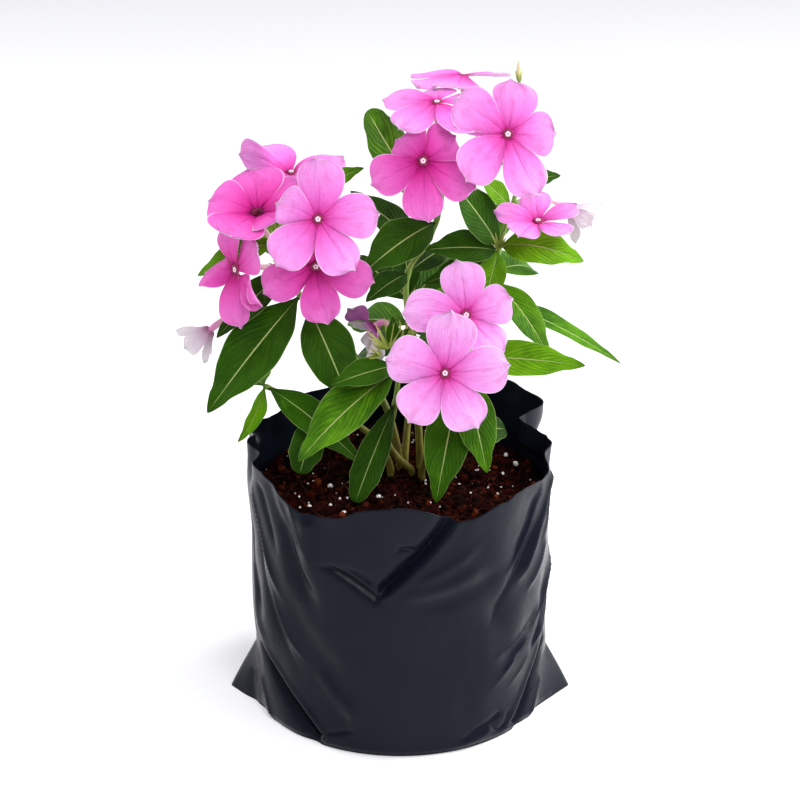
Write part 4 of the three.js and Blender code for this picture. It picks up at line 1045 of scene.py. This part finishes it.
# Neighbouring petals meet in a thin slit near the eye, and part or overlap further out.
def add_petal(bm, bloom, k, centre, facing, upright, rng):
    turns = bloom.turns
    half = bloom.radius * bloom.full / 2
    outward = Matrix.Rotation(math.radians(turns[k]), 3, facing) @ upright
    side = facing.cross(outward)
    length = bloom.radius * bloom.reach[k] - THROAT_RADIUS
    start = PETAL_START - THROAT_RADIUS
    cup = math.radians(bloom.cup + bloom.lifts.get(k, 0))
    lift, spread = math.sin(cup), math.cos(cup)
    phase = rng.uniform(0, 6)
    ripple = rng.uniform(0.25, 0.5)
    tail = rng.uniform(-0.5, 1.1)
    point = PETAL_POINT * half
    roll = bloom.rolled.get(k, 0.0)
    twist = math.radians(bloom.twists.get(k, 0))
    gaps = [(turns[k] - turns[k - 1]) % 360, (turns[(k + 1) % PETAL_COUNT] - turns[k]) % 360]
    slopes = [math.tan(math.radians(min(gap, WIDEST_GAP) / 2 * bloom.overlap)) for gap in gaps]
    fulls = [half * min(max((gap / 72) ** 0.5, 0.82), 1.2) for gap in gaps]

    def row_for(face):
        def row_at(v):
            distance = mix(start, length, v)
            out = THROAT_RADIUS + distance
            share = max(distance / length, 0.0)
            own = petal_width(out / (THROAT_RADIUS + length))
            axis = THROAT_RADIUS + distance * spread
            widths = []
            for slope, full in zip(slopes, fulls):
                wedge = max(axis, 0.6) * slope + 0.1
                plain = max(full * own, 1e-4)
                widths.append((wedge ** -7 + plain ** -7) ** (-1 / 7) if v < 1 else 0.0)
            ends = 0.0 if v <= 0.0 or v >= 1.0 else 1.0

            def spot(column):
                x = column * widths[0 if column < 0 else 1] + point * share ** 4 * (1 - abs(column))
                nib = PETAL_NIB * math.exp(-((x - point) / 1.0) ** 2) * eased((share - 0.9) / 0.1)
                far = distance + nib
                height = -PETAL_TWIST * x - PETAL_FOLD * abs(x)
                height -= 0.6 * (1 - eased((far - start) / 2.6))
                height -= 0.34 * math.exp(-(x / 0.9) ** 2) * (1 - 0.7 * share)
                height += ripple * math.sin(phase + share * 5.5 + column * 2.6) * share * abs(column) ** 1.5
                height += ripple * 0.8 * math.sin(phase * 2 + column * 5) * share ** 2
                height += 0.16 * math.sin(phase * 3 + column * 11) * share
                height -= tail * share ** 3
                if bloom.wilt:
                    height += bloom.wilt * math.sin(phase + column * 7 + share * 4) * share
                    x *= 1 - 0.3 * share
                if roll:
                    turn = x / roll * share
                    height += roll * (1 - math.cos(turn)) * 1.2
                    x = roll * math.sin(turn) / max(share, 0.2)
                thick = face * PETAL_THICKNESS * max(1 - abs(column) ** 6, 0.0) ** 0.5 * ends
                turned = twist * eased(share * 1.6)
                own_side = side * math.cos(turned) + facing * math.sin(turned)
                own_up = facing * math.cos(turned) - side * math.sin(turned)
                return (centre + outward * (THROAT_RADIUS + far * spread) + own_side * x
                        + facing * far * lift * (1 - PETAL_EASE * share) + own_up * (height + thick))
            return spot
        return row_at

    def rowed(v):
        return mix(v, math.sin(v * math.pi / 2), 0.7)

    slots = (WITHERED, WITHERED) if k in bloom.withered else (PETAL_FACE, PETAL_BACK)
    add_sheet(bm, PETAL_GRID, row_for, slots, rng.random(), lambda u: 2 * u - 1, rowed)


# The ring at the mouth of the tube, as (radius, height) steps from its middle to its outer edge. A funnel has
# a deep throat in its place.
EYE_STEPS = [(0, -0.3), (0.24, -0.1), (0.48, 0.28), (0.8, 0.36), (1.05, 0.18), (1.25, 0.04), (1.6, 0.12),
             (1.9, 0.04), (2.15, -0.35), (1.3, -1.0), (0, -1.2)]
THROAT_STEPS = [(0, -4.2), (0.35, -4.0), (0.6, -3.4), (0.8, -2.6), (1.0, -1.8), (1.3, -1.0), (1.7, -0.4),
                (2.1, -0.1), (2.0, -0.6), (1.2, -4.2), (0, -4.6)]


def add_eye(bm, centre, facing, upright, funnel):
    side = facing.cross(upright)
    steps = THROAT_STEPS if funnel else EYE_STEPS
    rows = len(steps) - 1
    start, end = (0.44, 0.56) if funnel else (0.0, 1.0)

    def row_at(v):
        radius, height = steps[round((v - start) / (end - start) * rows)]

        def spot(u):
            turn = -2 * math.pi * u
            lobes = 1 + (0.08 * math.cos(5 * turn) if radius > 0.5 else 0)
            out = upright * math.cos(turn) + side * math.sin(turn)
            return centre + out * radius * lobes + facing * height
        return spot

    weld(bm, patch(bm, EYE_SIDES, rows, row_at, EYE, 0.5, along=lambda v: mix(start, end, v)))


def make_bloom(bloom, finishes, slot):
    name = f"bloom_{bloom.name}"
    rng = random.Random(name)
    stem = next(stem for stem in STEMS if stem.name == bloom.stem)
    line, top = stalk_line(bloom, Line(stem_points(stem)).nearest(bloom.root))
    facing = facing_of(bloom)
    upright = squared(UP, facing)
    centre = Vector(bloom.centre)
    funnel = bloom.look == FUNNEL
    bm = bmesh.new()
    for k in range(PETAL_COUNT):
        add_petal(bm, bloom, k, centre, facing, upright, rng)
    add_eye(bm, centre, facing, upright, funnel)

    def radius_at(share):
        swelling = 0.28 * math.exp(-((share - 0.82) / 0.09) ** 2)
        mouth = 0.35 * eased((share - 0.9) / 0.1)
        return mix(TUBE_RADIUS * 0.85, TUBE_RADIUS, eased(share / 0.4)) + swelling + mouth

    tube = line.part(top - 0.6 / line.length, 1 - (FUNNEL_TUBE_GAP / line.length if funnel else 0))
    add_bar(bm, tube, radius_at, TUBE_RINGS, TUBE, 0.5, TUBE_SIDES)
    finished(bm, f"{name}_dressed", finishes, slot, name)


# Finishes. Shader sums are written as plain sums on sockets.
def sum_of(kind, turned_round=False):
    def made(reading, other):
        pair = (other, reading) if turned_round else (reading, other)
        return reading.finish.node("ShaderNodeMath", {"operation": kind}, dict(enumerate(pair)))
    return made


def reading_of(kind):
    return lambda reading: reading.finish.node("ShaderNodeMath", {"operation": kind}, {0: reading})


class Reading:
    """One socket of a material, which takes part in sums."""

    def __init__(self, finish, socket):
        self.finish = finish
        self.socket = socket

    __add__, __radd__ = sum_of("ADD"), sum_of("ADD", True)
    __sub__, __rsub__ = sum_of("SUBTRACT"), sum_of("SUBTRACT", True)
    __mul__, __rmul__ = sum_of("MULTIPLY"), sum_of("MULTIPLY", True)
    __truediv__, __rtruediv__ = sum_of("DIVIDE"), sum_of("DIVIDE", True)
    __pow__, __rpow__ = sum_of("POWER"), sum_of("POWER", True)
    __abs__, fraction = reading_of("ABSOLUTE"), reading_of("FRACT")


class Finish:
    """A material under its maker's name, with what its nodes need."""

    def __init__(self, name):
        self.material = bpy.data.materials.new(name)
        self.material.use_nodes = True
        self.tree = self.material.node_tree
        self.tree.nodes.clear()

    def node(self, kind, settings=None, sockets=None, output=0):
        made = self.tree.nodes.new(kind)
        for name, value in (settings or {}).items():
            if name == "stops":
                ramp = made.color_ramp
                while len(ramp.elements) < len(value):
                    ramp.elements.new(0.5)
                for element, (place, colour) in zip(ramp.elements, value):
                    element.position = place
                    element.color = (*colour, 1)
            else:
                setattr(made, name, value)
        for name, value in (sockets or {}).items():
            target = made.inputs[name]
            if isinstance(value, Reading):
                self.tree.links.new(value.socket, target)
            else:
                target.default_value = (*value, 1) if target.type == "RGBA" and len(value) == 3 else value
        return Reading(self, made.outputs[output]) if made.outputs else None

    def place(self, scale=(1, 1, 1), turn=(0, 0, 0)):
        spot = self.node("ShaderNodeTexCoord", output="Object")
        return self.node("ShaderNodeMapping", {}, {"Vector": spot, "Scale": scale, "Rotation": turn})

    def tone(self):
        return self.node("ShaderNodeAttribute", {"attribute_name": "tone"}, output="Fac")

    def uv(self):
        spot = self.node("ShaderNodeUVMap", {"uv_map": "UVMap"})
        return [self.node("ShaderNodeSeparateXYZ", {}, {0: spot}, output=way) for way in "XY"]

    # A spot is a link, or three readings or numbers that are joined to one.
    def noise(self, spot, scale, detail=3, roughness=0.5, distortion=0.0):
        if isinstance(spot, tuple):
            spot = self.node("ShaderNodeCombineXYZ", {}, dict(enumerate(spot)))
        return self.node("ShaderNodeTexNoise", {}, {
            "Vector": spot, "Scale": scale, "Detail": detail, "Roughness": roughness,
            "Distortion": distortion})

    def cells(self, spot, scale):
        return self.node("ShaderNodeTexVoronoi", {}, {"Vector": spot, "Scale": scale})

    def between(self, value, low, high):
        return self.node("ShaderNodeMapRange", {"interpolation_type": "SMOOTHSTEP"}, {
            "Value": value, "From Min": low, "From Max": high})

    def ramp(self, value, *stops):
        return self.node("ShaderNodeValToRGB", {"stops": stops}, {0: value})

    def blend(self, share, first, second):
        return self.node("ShaderNodeMix", {"data_type": "RGBA", "blend_type": "MIX"}, {
            0: share, 6: first, 7: second}, output=2)

    def bump(self, height, strength, distance):
        return self.node("ShaderNodeBump", {}, {"Height": height, "Strength": strength, "Distance": distance})

    def done(self, colour, roughness, normal=None, gloss=0.5, **more):
        sockets = {"Base Color": colour, "Roughness": roughness, "Specular IOR Level": gloss, **more}
        if normal:
            sockets["Normal"] = normal
        surface = self.node("ShaderNodeBsdfPrincipled", {}, sockets)
        self.node("ShaderNodeOutputMaterial", {}, {"Surface": surface})
        return self.material


def film_finish():
    finish = Finish("black polythene film")
    spot = finish.place()
    broad = finish.noise(spot, 38, 2, 0.5, 0.8)
    crinkle = finish.noise(spot, 150, 3, 0.55, 0.7)
    grain = finish.noise(spot, 1400, 2)
    colour = finish.blend(broad, (0.0042, 0.0056, 0.0116), (0.0072, 0.0088, 0.016))
    normal = finish.bump(broad * 0.7 + crinkle * 0.22 + grain * 0.006, 0.5, 0.0014)
    return finish.done(colour, 0.22 + 0.12 * crinkle + 0.04 * grain, normal, 0.1)


def mix_finish():
    finish = Finish("peat and coir mix")
    spot = finish.place()
    clods = finish.noise(spot, 260, 5, 0.65)
    threads = finish.noise(finish.place((1, 6, 2), (0, 0, 0.7)), 240, 4, 0.6, 0.4)
    specks = finish.cells(spot, 700)
    colour = finish.ramp(clods, (0.34, (0.0012, 0.0002, 0.0002)), (0.5, (0.008, 0.0007, 0.0005)),
                         (0.64, (0.036, 0.0032, 0.0018)), (0.82, (0.12, 0.017, 0.007)))
    colour = finish.blend(finish.between(threads, 0.56, 0.72), colour, (0.08, 0.012, 0.005))
    normal = finish.bump(clods * 0.8 + threads * 0.4 + specks * 0.3, 0.9, 0.0016)
    return finish.done(colour, 0.86 + 0.1 * clods, normal, 0.04)


def crumb_finish():
    finish = Finish("peat crumbs")
    grain = finish.noise(finish.place(), 900, 4, 0.6)
    colour = finish.ramp(finish.tone(), (0, (0.0015, 0.0004, 0.0003)), (0.5, (0.014, 0.0015, 0.0009)),
                         (0.82, (0.062, 0.008, 0.0034)), (1, (0.19, 0.036, 0.014)))
    colour = finish.blend(grain * 0.5, colour, (0.002, 0.0006, 0.0004))
    return finish.done(colour, 0.9 + 0.05 * grain, finish.bump(grain, 0.8, 0.0008), 0.05)


def fibre_finish():
    finish = Finish("coir fibre")
    grain = finish.noise(finish.place(), 1500, 3)
    colour = finish.ramp(finish.tone(), (0, (0.008, 0.0016, 0.001)), (0.6, (0.04, 0.008, 0.0034)),
                         (1, (0.12, 0.035, 0.014)))
    colour = finish.blend(grain * 0.5, colour, (0.012, 0.004, 0.002))
    return finish.done(colour, 0.75 + 0.1 * grain, finish.bump(grain, 0.5, 0.0004), 0.1)


def perlite_finish():
    finish = Finish("perlite")
    spot = finish.place()
    pores = finish.cells(spot, 1500)
    grain = finish.noise(spot, 900, 3)
    colour = finish.blend(finish.tone() * grain * 0.4, (1.0, 0.98, 0.95), (0.6, 0.42, 0.35))
    return finish.done(colour, 0.8 + 0.1 * grain, finish.bump(pores * 0.7 + grain * 0.4, 0.8, 0.0005))


# The side veins run out from the midrib and bend to the tip. depth is how deep they and the midrib lie.
def leaf_finish(name, dark, middle, light, vein, roughness, depth):
    finish = Finish(name)
    across, along = finish.uv()
    side = finish.between(across, -0.001, 0.001)
    column = abs(across)
    wobble = finish.noise((across * 2.2, along * 7, finish.tone() * 7), 1.5, 3, 0.6)
    phase = (along * 1.08 - 0.42 * column ** 1.25) * 11 + side * 0.4 + wobble * 0.7
    ridge = abs(phase.fraction() * 2 - 1)
    lateral = finish.between(ridge, 0.12, 0.02) * finish.between(column, 0.97, 0.45)
    midrib = finish.between(column + wobble * 0.01, 0.048, 0.02) * finish.between(along, 1.0, 0.9)
    spot = finish.place()
    cloud = finish.noise(spot, 55, 4, 0.62)
    streak = finish.noise((phase * 0.9, column * 1.1, finish.tone() * 5 + side * 3), 1.6, 5, 0.72)
    net = finish.cells(spot, 1100)
    shade = 0.62 * cloud + 0.4 * streak + 0.62 * finish.tone() + 0.05 * ridge - 0.36
    colour = finish.ramp(shade, (0.12, dark), (0.5, middle), (0.88, light))
    colour = finish.blend(lateral * 0.26, colour, light)
    colour = finish.blend(midrib * 0.9, colour, vein)
    colour = finish.blend(finish.between(column, 0.95, 1.0) * 0.4, colour, vein)
    height = ridge * 0.16 - lateral * depth * 0.6 - midrib * depth + streak * 0.3 + net * 0.04 + cloud * 0.5
    return finish.done(colour, roughness + 0.2 * streak + 0.06 * net, finish.bump(height, 0.85, 0.0013), 0.08)


# Stems are ochre near the mix and green higher up.
def stem_finish():
    finish = Finish("green stem")
    spot = finish.place()
    height = finish.node("ShaderNodeSeparateXYZ", {}, {0: spot}, output="Z")
    streak = finish.noise(finish.place((1, 1, 0.16)), 900, 4, 0.6)
    patchy = finish.noise(spot, 110, 3)
    shade = streak * 0.6 + patchy * 0.5
    green = finish.ramp(shade, (0.3, (0.07, 0.17, 0.012)), (0.6, (0.19, 0.33, 0.035)),
                        (0.85, (0.36, 0.44, 0.09)))
    ochre = finish.ramp(shade, (0.3, (0.08, 0.065, 0.008)), (0.6, (0.23, 0.2, 0.022)),
                        (0.85, (0.42, 0.36, 0.06)))
    colour = finish.blend(finish.between(height + patchy * 0.03, 0.165, 0.125), green, ochre)
    return finish.done(colour, 0.48 + 0.16 * streak, finish.bump(streak, 0.5, 0.0004))


def sepal_finish():
    finish = Finish("young green")
    across, along = finish.uv()
    streak = finish.noise((across * 6, along * 2, finish.tone() * 9), 2, 3)
    colour = finish.ramp(streak * 0.6 + along * 0.35 + finish.tone() * 0.2, (0.25, (0.13, 0.24, 0.02)),
                         (0.55, (0.36, 0.44, 0.06)), (0.9, (0.72, 0.62, 0.24)))
    normal = finish.bump(streak + finish.noise(finish.place(), 900) * 0.4, 0.5, 0.0004)
    return finish.done(colour, 0.5 + 0.15 * streak, normal)


def bud_finish():
    finish = Finish("closed bud")
    across, along = finish.uv()
    streak = finish.noise((across * 8 + along * 2, along * 1.5, 0.0), 2, 3)
    colour = finish.ramp(along + streak * 0.3, (0.1, (0.3, 0.42, 0.1)), (0.6, (0.62, 0.6, 0.26)),
                         (1.0, (0.8, 0.62, 0.42)))
    return finish.done(colour, 0.5 + 0.1 * streak, finish.bump(streak, 0.5, 0.0005))


# A petal's colours run from its heart to its rim, with a thin pale edge. reach is how far the heart spreads.
def petal_finish(name, heart, flush, body, rim, edge, roughness=0.5, reach=1.0):
    finish = Finish(name)
    across, along = finish.uv()
    column = abs(across)
    veins = finish.noise((across * 9, along * 1.1, finish.tone() * 9), 2.2, 4, 0.62, 0.3)
    cloud = finish.noise((across * 1.5, along * 2.0, finish.tone() * 8), 1.9, 4, 0.62, 0.4)
    spread = along / reach + (veins - 0.5) * 0.34 + (cloud - 0.5) * 0.24
    colour = finish.ramp(spread, (0.03, heart), (0.12, flush), (0.36, body), (0.9, rim))
    streaks = finish.between(veins, 0.5, 0.68) * finish.between(along, 0.9, 0.1)
    midline = finish.between(column, 0.09, 0.015) * finish.between(along, 0.9, 0.2)
    for share in (streaks * 0.42, finish.between(cloud, 0.47, 0.68) * 0.34, midline * 0.35):
        colour = finish.blend(share, colour, flush)
    margin = finish.between(column, 0.94, 1.0) * finish.between(along, 0.15, 0.5)
    margin = margin + finish.between(along, 0.965, 1.0)
    colour = finish.blend(finish.between(margin, 0.0, 1.0) * 0.75, colour, edge)
    fine = finish.noise((across * 30, along * 4, finish.tone() * 3), 3, 3)
    crumple = finish.noise(finish.place(), 130, 3, 0.6, 0.5)
    height = veins * 0.7 + fine * 0.25 + cloud * 0.7 + crumple * 0.55 - midline * 0.5
    return finish.done(colour, roughness + 0.14 * veins, finish.bump(height, 0.8, 0.0013), 0.14)


def eye_finish():
    finish = Finish("bloom eye")
    _, along = finish.uv()
    hairs = finish.noise(finish.place(), 2600, 3)
    colour = finish.ramp(
        along + hairs * 0.04 - 0.02,
        (0.0, (0.5, 0.02, 0.16)), (0.14, (0.85, 0.4, 0.6)), (0.24, (0.98, 0.8, 0.88)),
        (0.38, (0.9, 0.5, 0.68)), (0.46, (0.12, 0.0, 0.025)), (0.66, (0.2, 0.0, 0.05)),
        (0.82, (0.56, 0.006, 0.19)))
    return finish.done(colour, 0.5 + 0.1 * hairs, finish.bump(hairs, 0.5, 0.0004))


def tube_finish():
    finish = Finish("bloom tube")
    across, along = finish.uv()
    streak = finish.noise((across * 9, along * 2, 0.0), 2, 3)
    colour = finish.ramp(along + streak * 0.2, (0.1, (0.45, 0.5, 0.2)), (0.45, (0.78, 0.55, 0.5)),
                         (0.95, (0.86, 0.3, 0.62)))
    return finish.done(colour, 0.5 + 0.1 * streak, finish.bump(streak, 0.4, 0.0004))


# The pieces.
make_bag([film_finish()])
make_soil([mix_finish()])
make_lumps("peat_crumbs", 1024, 1, (0.4, 2.1), 0.5, [crumb_finish()], 17)
make_lumps("perlite_grains", 128, 2, (0.35, 1.2), 0.4, [perlite_finish()], 23, PERLITE_SEEN)
make_fibres([fibre_finish()])

green = [
    leaf_finish("leaf face", (0.006, 0.026, 0.0002), (0.033, 0.12, 0.0008), (0.19, 0.48, 0.008),
                (0.56, 0.72, 0.24), 0.34, 0.55),
    leaf_finish("leaf underside", (0.04, 0.11, 0.008), (0.09, 0.22, 0.02), (0.2, 0.38, 0.045),
                (0.5, 0.65, 0.24), 0.5, -0.8),
    stem_finish(), sepal_finish(), bud_finish(),
]
for stem in STEMS:
    make_stem(stem, green)

faces = [
    petal_finish("pink petal face", (0.6, 0.01, 0.22), (0.88, 0.07, 0.48), (0.95, 0.21, 0.76),
                 (0.96, 0.38, 0.88), (1.0, 0.82, 0.96)),
    petal_finish("deep petal face", (0.38, 0.001, 0.12), (0.68, 0.02, 0.29), (0.86, 0.09, 0.52),
                 (0.93, 0.24, 0.72), (1.0, 0.66, 0.9), reach=1.2),
    petal_finish("faded petal face", (0.5, 0.04, 0.25), (0.74, 0.36, 0.62), (0.85, 0.66, 0.82),
                 (0.93, 0.86, 0.93), (0.96, 0.93, 0.96)),
    petal_finish("funnel petal face", (0.13, 0.0, 0.04), (0.72, 0.015, 0.3), (0.92, 0.1, 0.55),
                 (0.95, 0.25, 0.8), (1.0, 0.84, 0.97), reach=1.3),
    petal_finish("light pink petal face", (0.6, 0.01, 0.22), (0.9, 0.1, 0.54), (0.96, 0.3, 0.85),
                 (0.98, 0.5, 0.95), (1.0, 0.86, 0.98)),
]
pink_back = petal_finish("pink petal back", (0.7, 0.14, 0.4), (0.87, 0.26, 0.66), (0.94, 0.42, 0.85),
                         (0.96, 0.55, 0.93), (1.0, 0.82, 0.97), 0.55)
deep_back = petal_finish("deep petal back", (0.6, 0.08, 0.3), (0.8, 0.15, 0.5), (0.86, 0.24, 0.64),
                         (0.92, 0.34, 0.76), (1.0, 0.65, 0.92), 0.55)
faded_back = petal_finish("faded petal back", (0.55, 0.2, 0.38), (0.76, 0.5, 0.68), (0.86, 0.72, 0.84),
                          (0.93, 0.88, 0.93), (0.96, 0.94, 0.96), 0.55)
bruised = petal_finish("withered petal", (0.2, 0.01, 0.1), (0.3, 0.03, 0.2), (0.42, 0.1, 0.36),
                       (0.55, 0.2, 0.5), (0.7, 0.5, 0.6), 0.6)
backs = [pink_back, deep_back, faded_back, pink_back, pink_back]
slots = ["petal_pink", "petal_deep", "petal_pale", "petal_pink", "petal_pink"]
eye, tube = eye_finish(), tube_finish()
for bloom in BLOOMS:
    look = bloom.look
    make_bloom(bloom, [faces[look], backs[look], eye, tube, bruised], slots[look])


# The floor, the lights and the camera, in metres.
MIDDLE = Vector((0, 0, 0.15))
CAMERA_AIM = Vector((0, 0, 0.134))
CAMERA_DISTANCE = 1.3
CAMERA_TILT = math.radians(24)
LENS_LENGTH = 141.57
LENS_SENSOR = 36
FLOOR_SIZE = 4.0
FLOOR_DROP = 0.0002


def shown(name, data):
    thing = bpy.data.objects.new(name, data)
    bpy.context.scene.collection.objects.link(thing)
    return thing


def plain_floor():
    bm = bmesh.new()
    bmesh.ops.create_grid(bm, x_segments=1, y_segments=1, size=FLOOR_SIZE)
    bmesh.ops.translate(bm, vec=(0, 0, -FLOOR_DROP), verts=bm.verts)
    mesh = bpy.data.meshes.new("studio_floor")
    bm.to_mesh(mesh)
    bm.free()
    mesh.materials.append(Finish("white studio floor").done((0.84, 0.84, 0.86), 0.9, gloss=0.0, **{
        "Emission Color": (0.97, 0.97, 1.0), "Emission Strength": 0.26}))
    shown("studio_floor", mesh)


def soft_light(name, place, aim, width, height, power):
    light = bpy.data.lights.new(name, "AREA")
    light.shape = "RECTANGLE"
    light.size = width
    light.size_y = height
    light.energy = power
    lamp = shown(name, light)
    lamp.location = place
    lamp.rotation_euler = (Vector(aim) - Vector(place)).to_track_quat("-Z", "Y").to_euler()


def photo_camera():
    lens = bpy.data.cameras.new("photo_camera")
    lens.lens = LENS_LENGTH
    lens.sensor_width = LENS_SENSOR
    lens.clip_end = 20
    camera = shown("photo_camera", lens)
    away = Vector((0, -CAMERA_DISTANCE * math.cos(CAMERA_TILT), CAMERA_DISTANCE * math.sin(CAMERA_TILT)))
    camera.location = CAMERA_AIM + away
    camera.rotation_euler = (math.pi / 2 - CAMERA_TILT, 0, 0)
    bpy.context.scene.camera = camera


plain_floor()
photo_camera()
soft_light("top_light", (0.1, -0.3, 1.25), MIDDLE, 0.9, 0.8, 7.4)
soft_light("left_light", (-0.95, 0.48, 0.5), MIDDLE, 0.4, 1.1, 7.0)
soft_light("right_light", (0.98, 0.36, 0.55), MIDDLE, 0.6, 1.1, 10.0)
soft_light("right_floor_light", (0.4, 0.08, 0.35), (0.2, 0.0, 0), 0.3, 0.3, 2.0)
soft_light("front_light", (0.4, -1.25, 1.15), MIDDLE, 0.6, 0.4, 9.0)

world = bpy.data.worlds.new("white studio")
world.use_nodes = True
world.node_tree.nodes["Background"].inputs["Color"].default_value = (0.97, 0.98, 1.0, 1)
world.node_tree.nodes["Background"].inputs["Strength"].default_value = 0.32
bpy.context.scene.world = world
bpy.context.scene.view_settings.view_transform = "Standard"
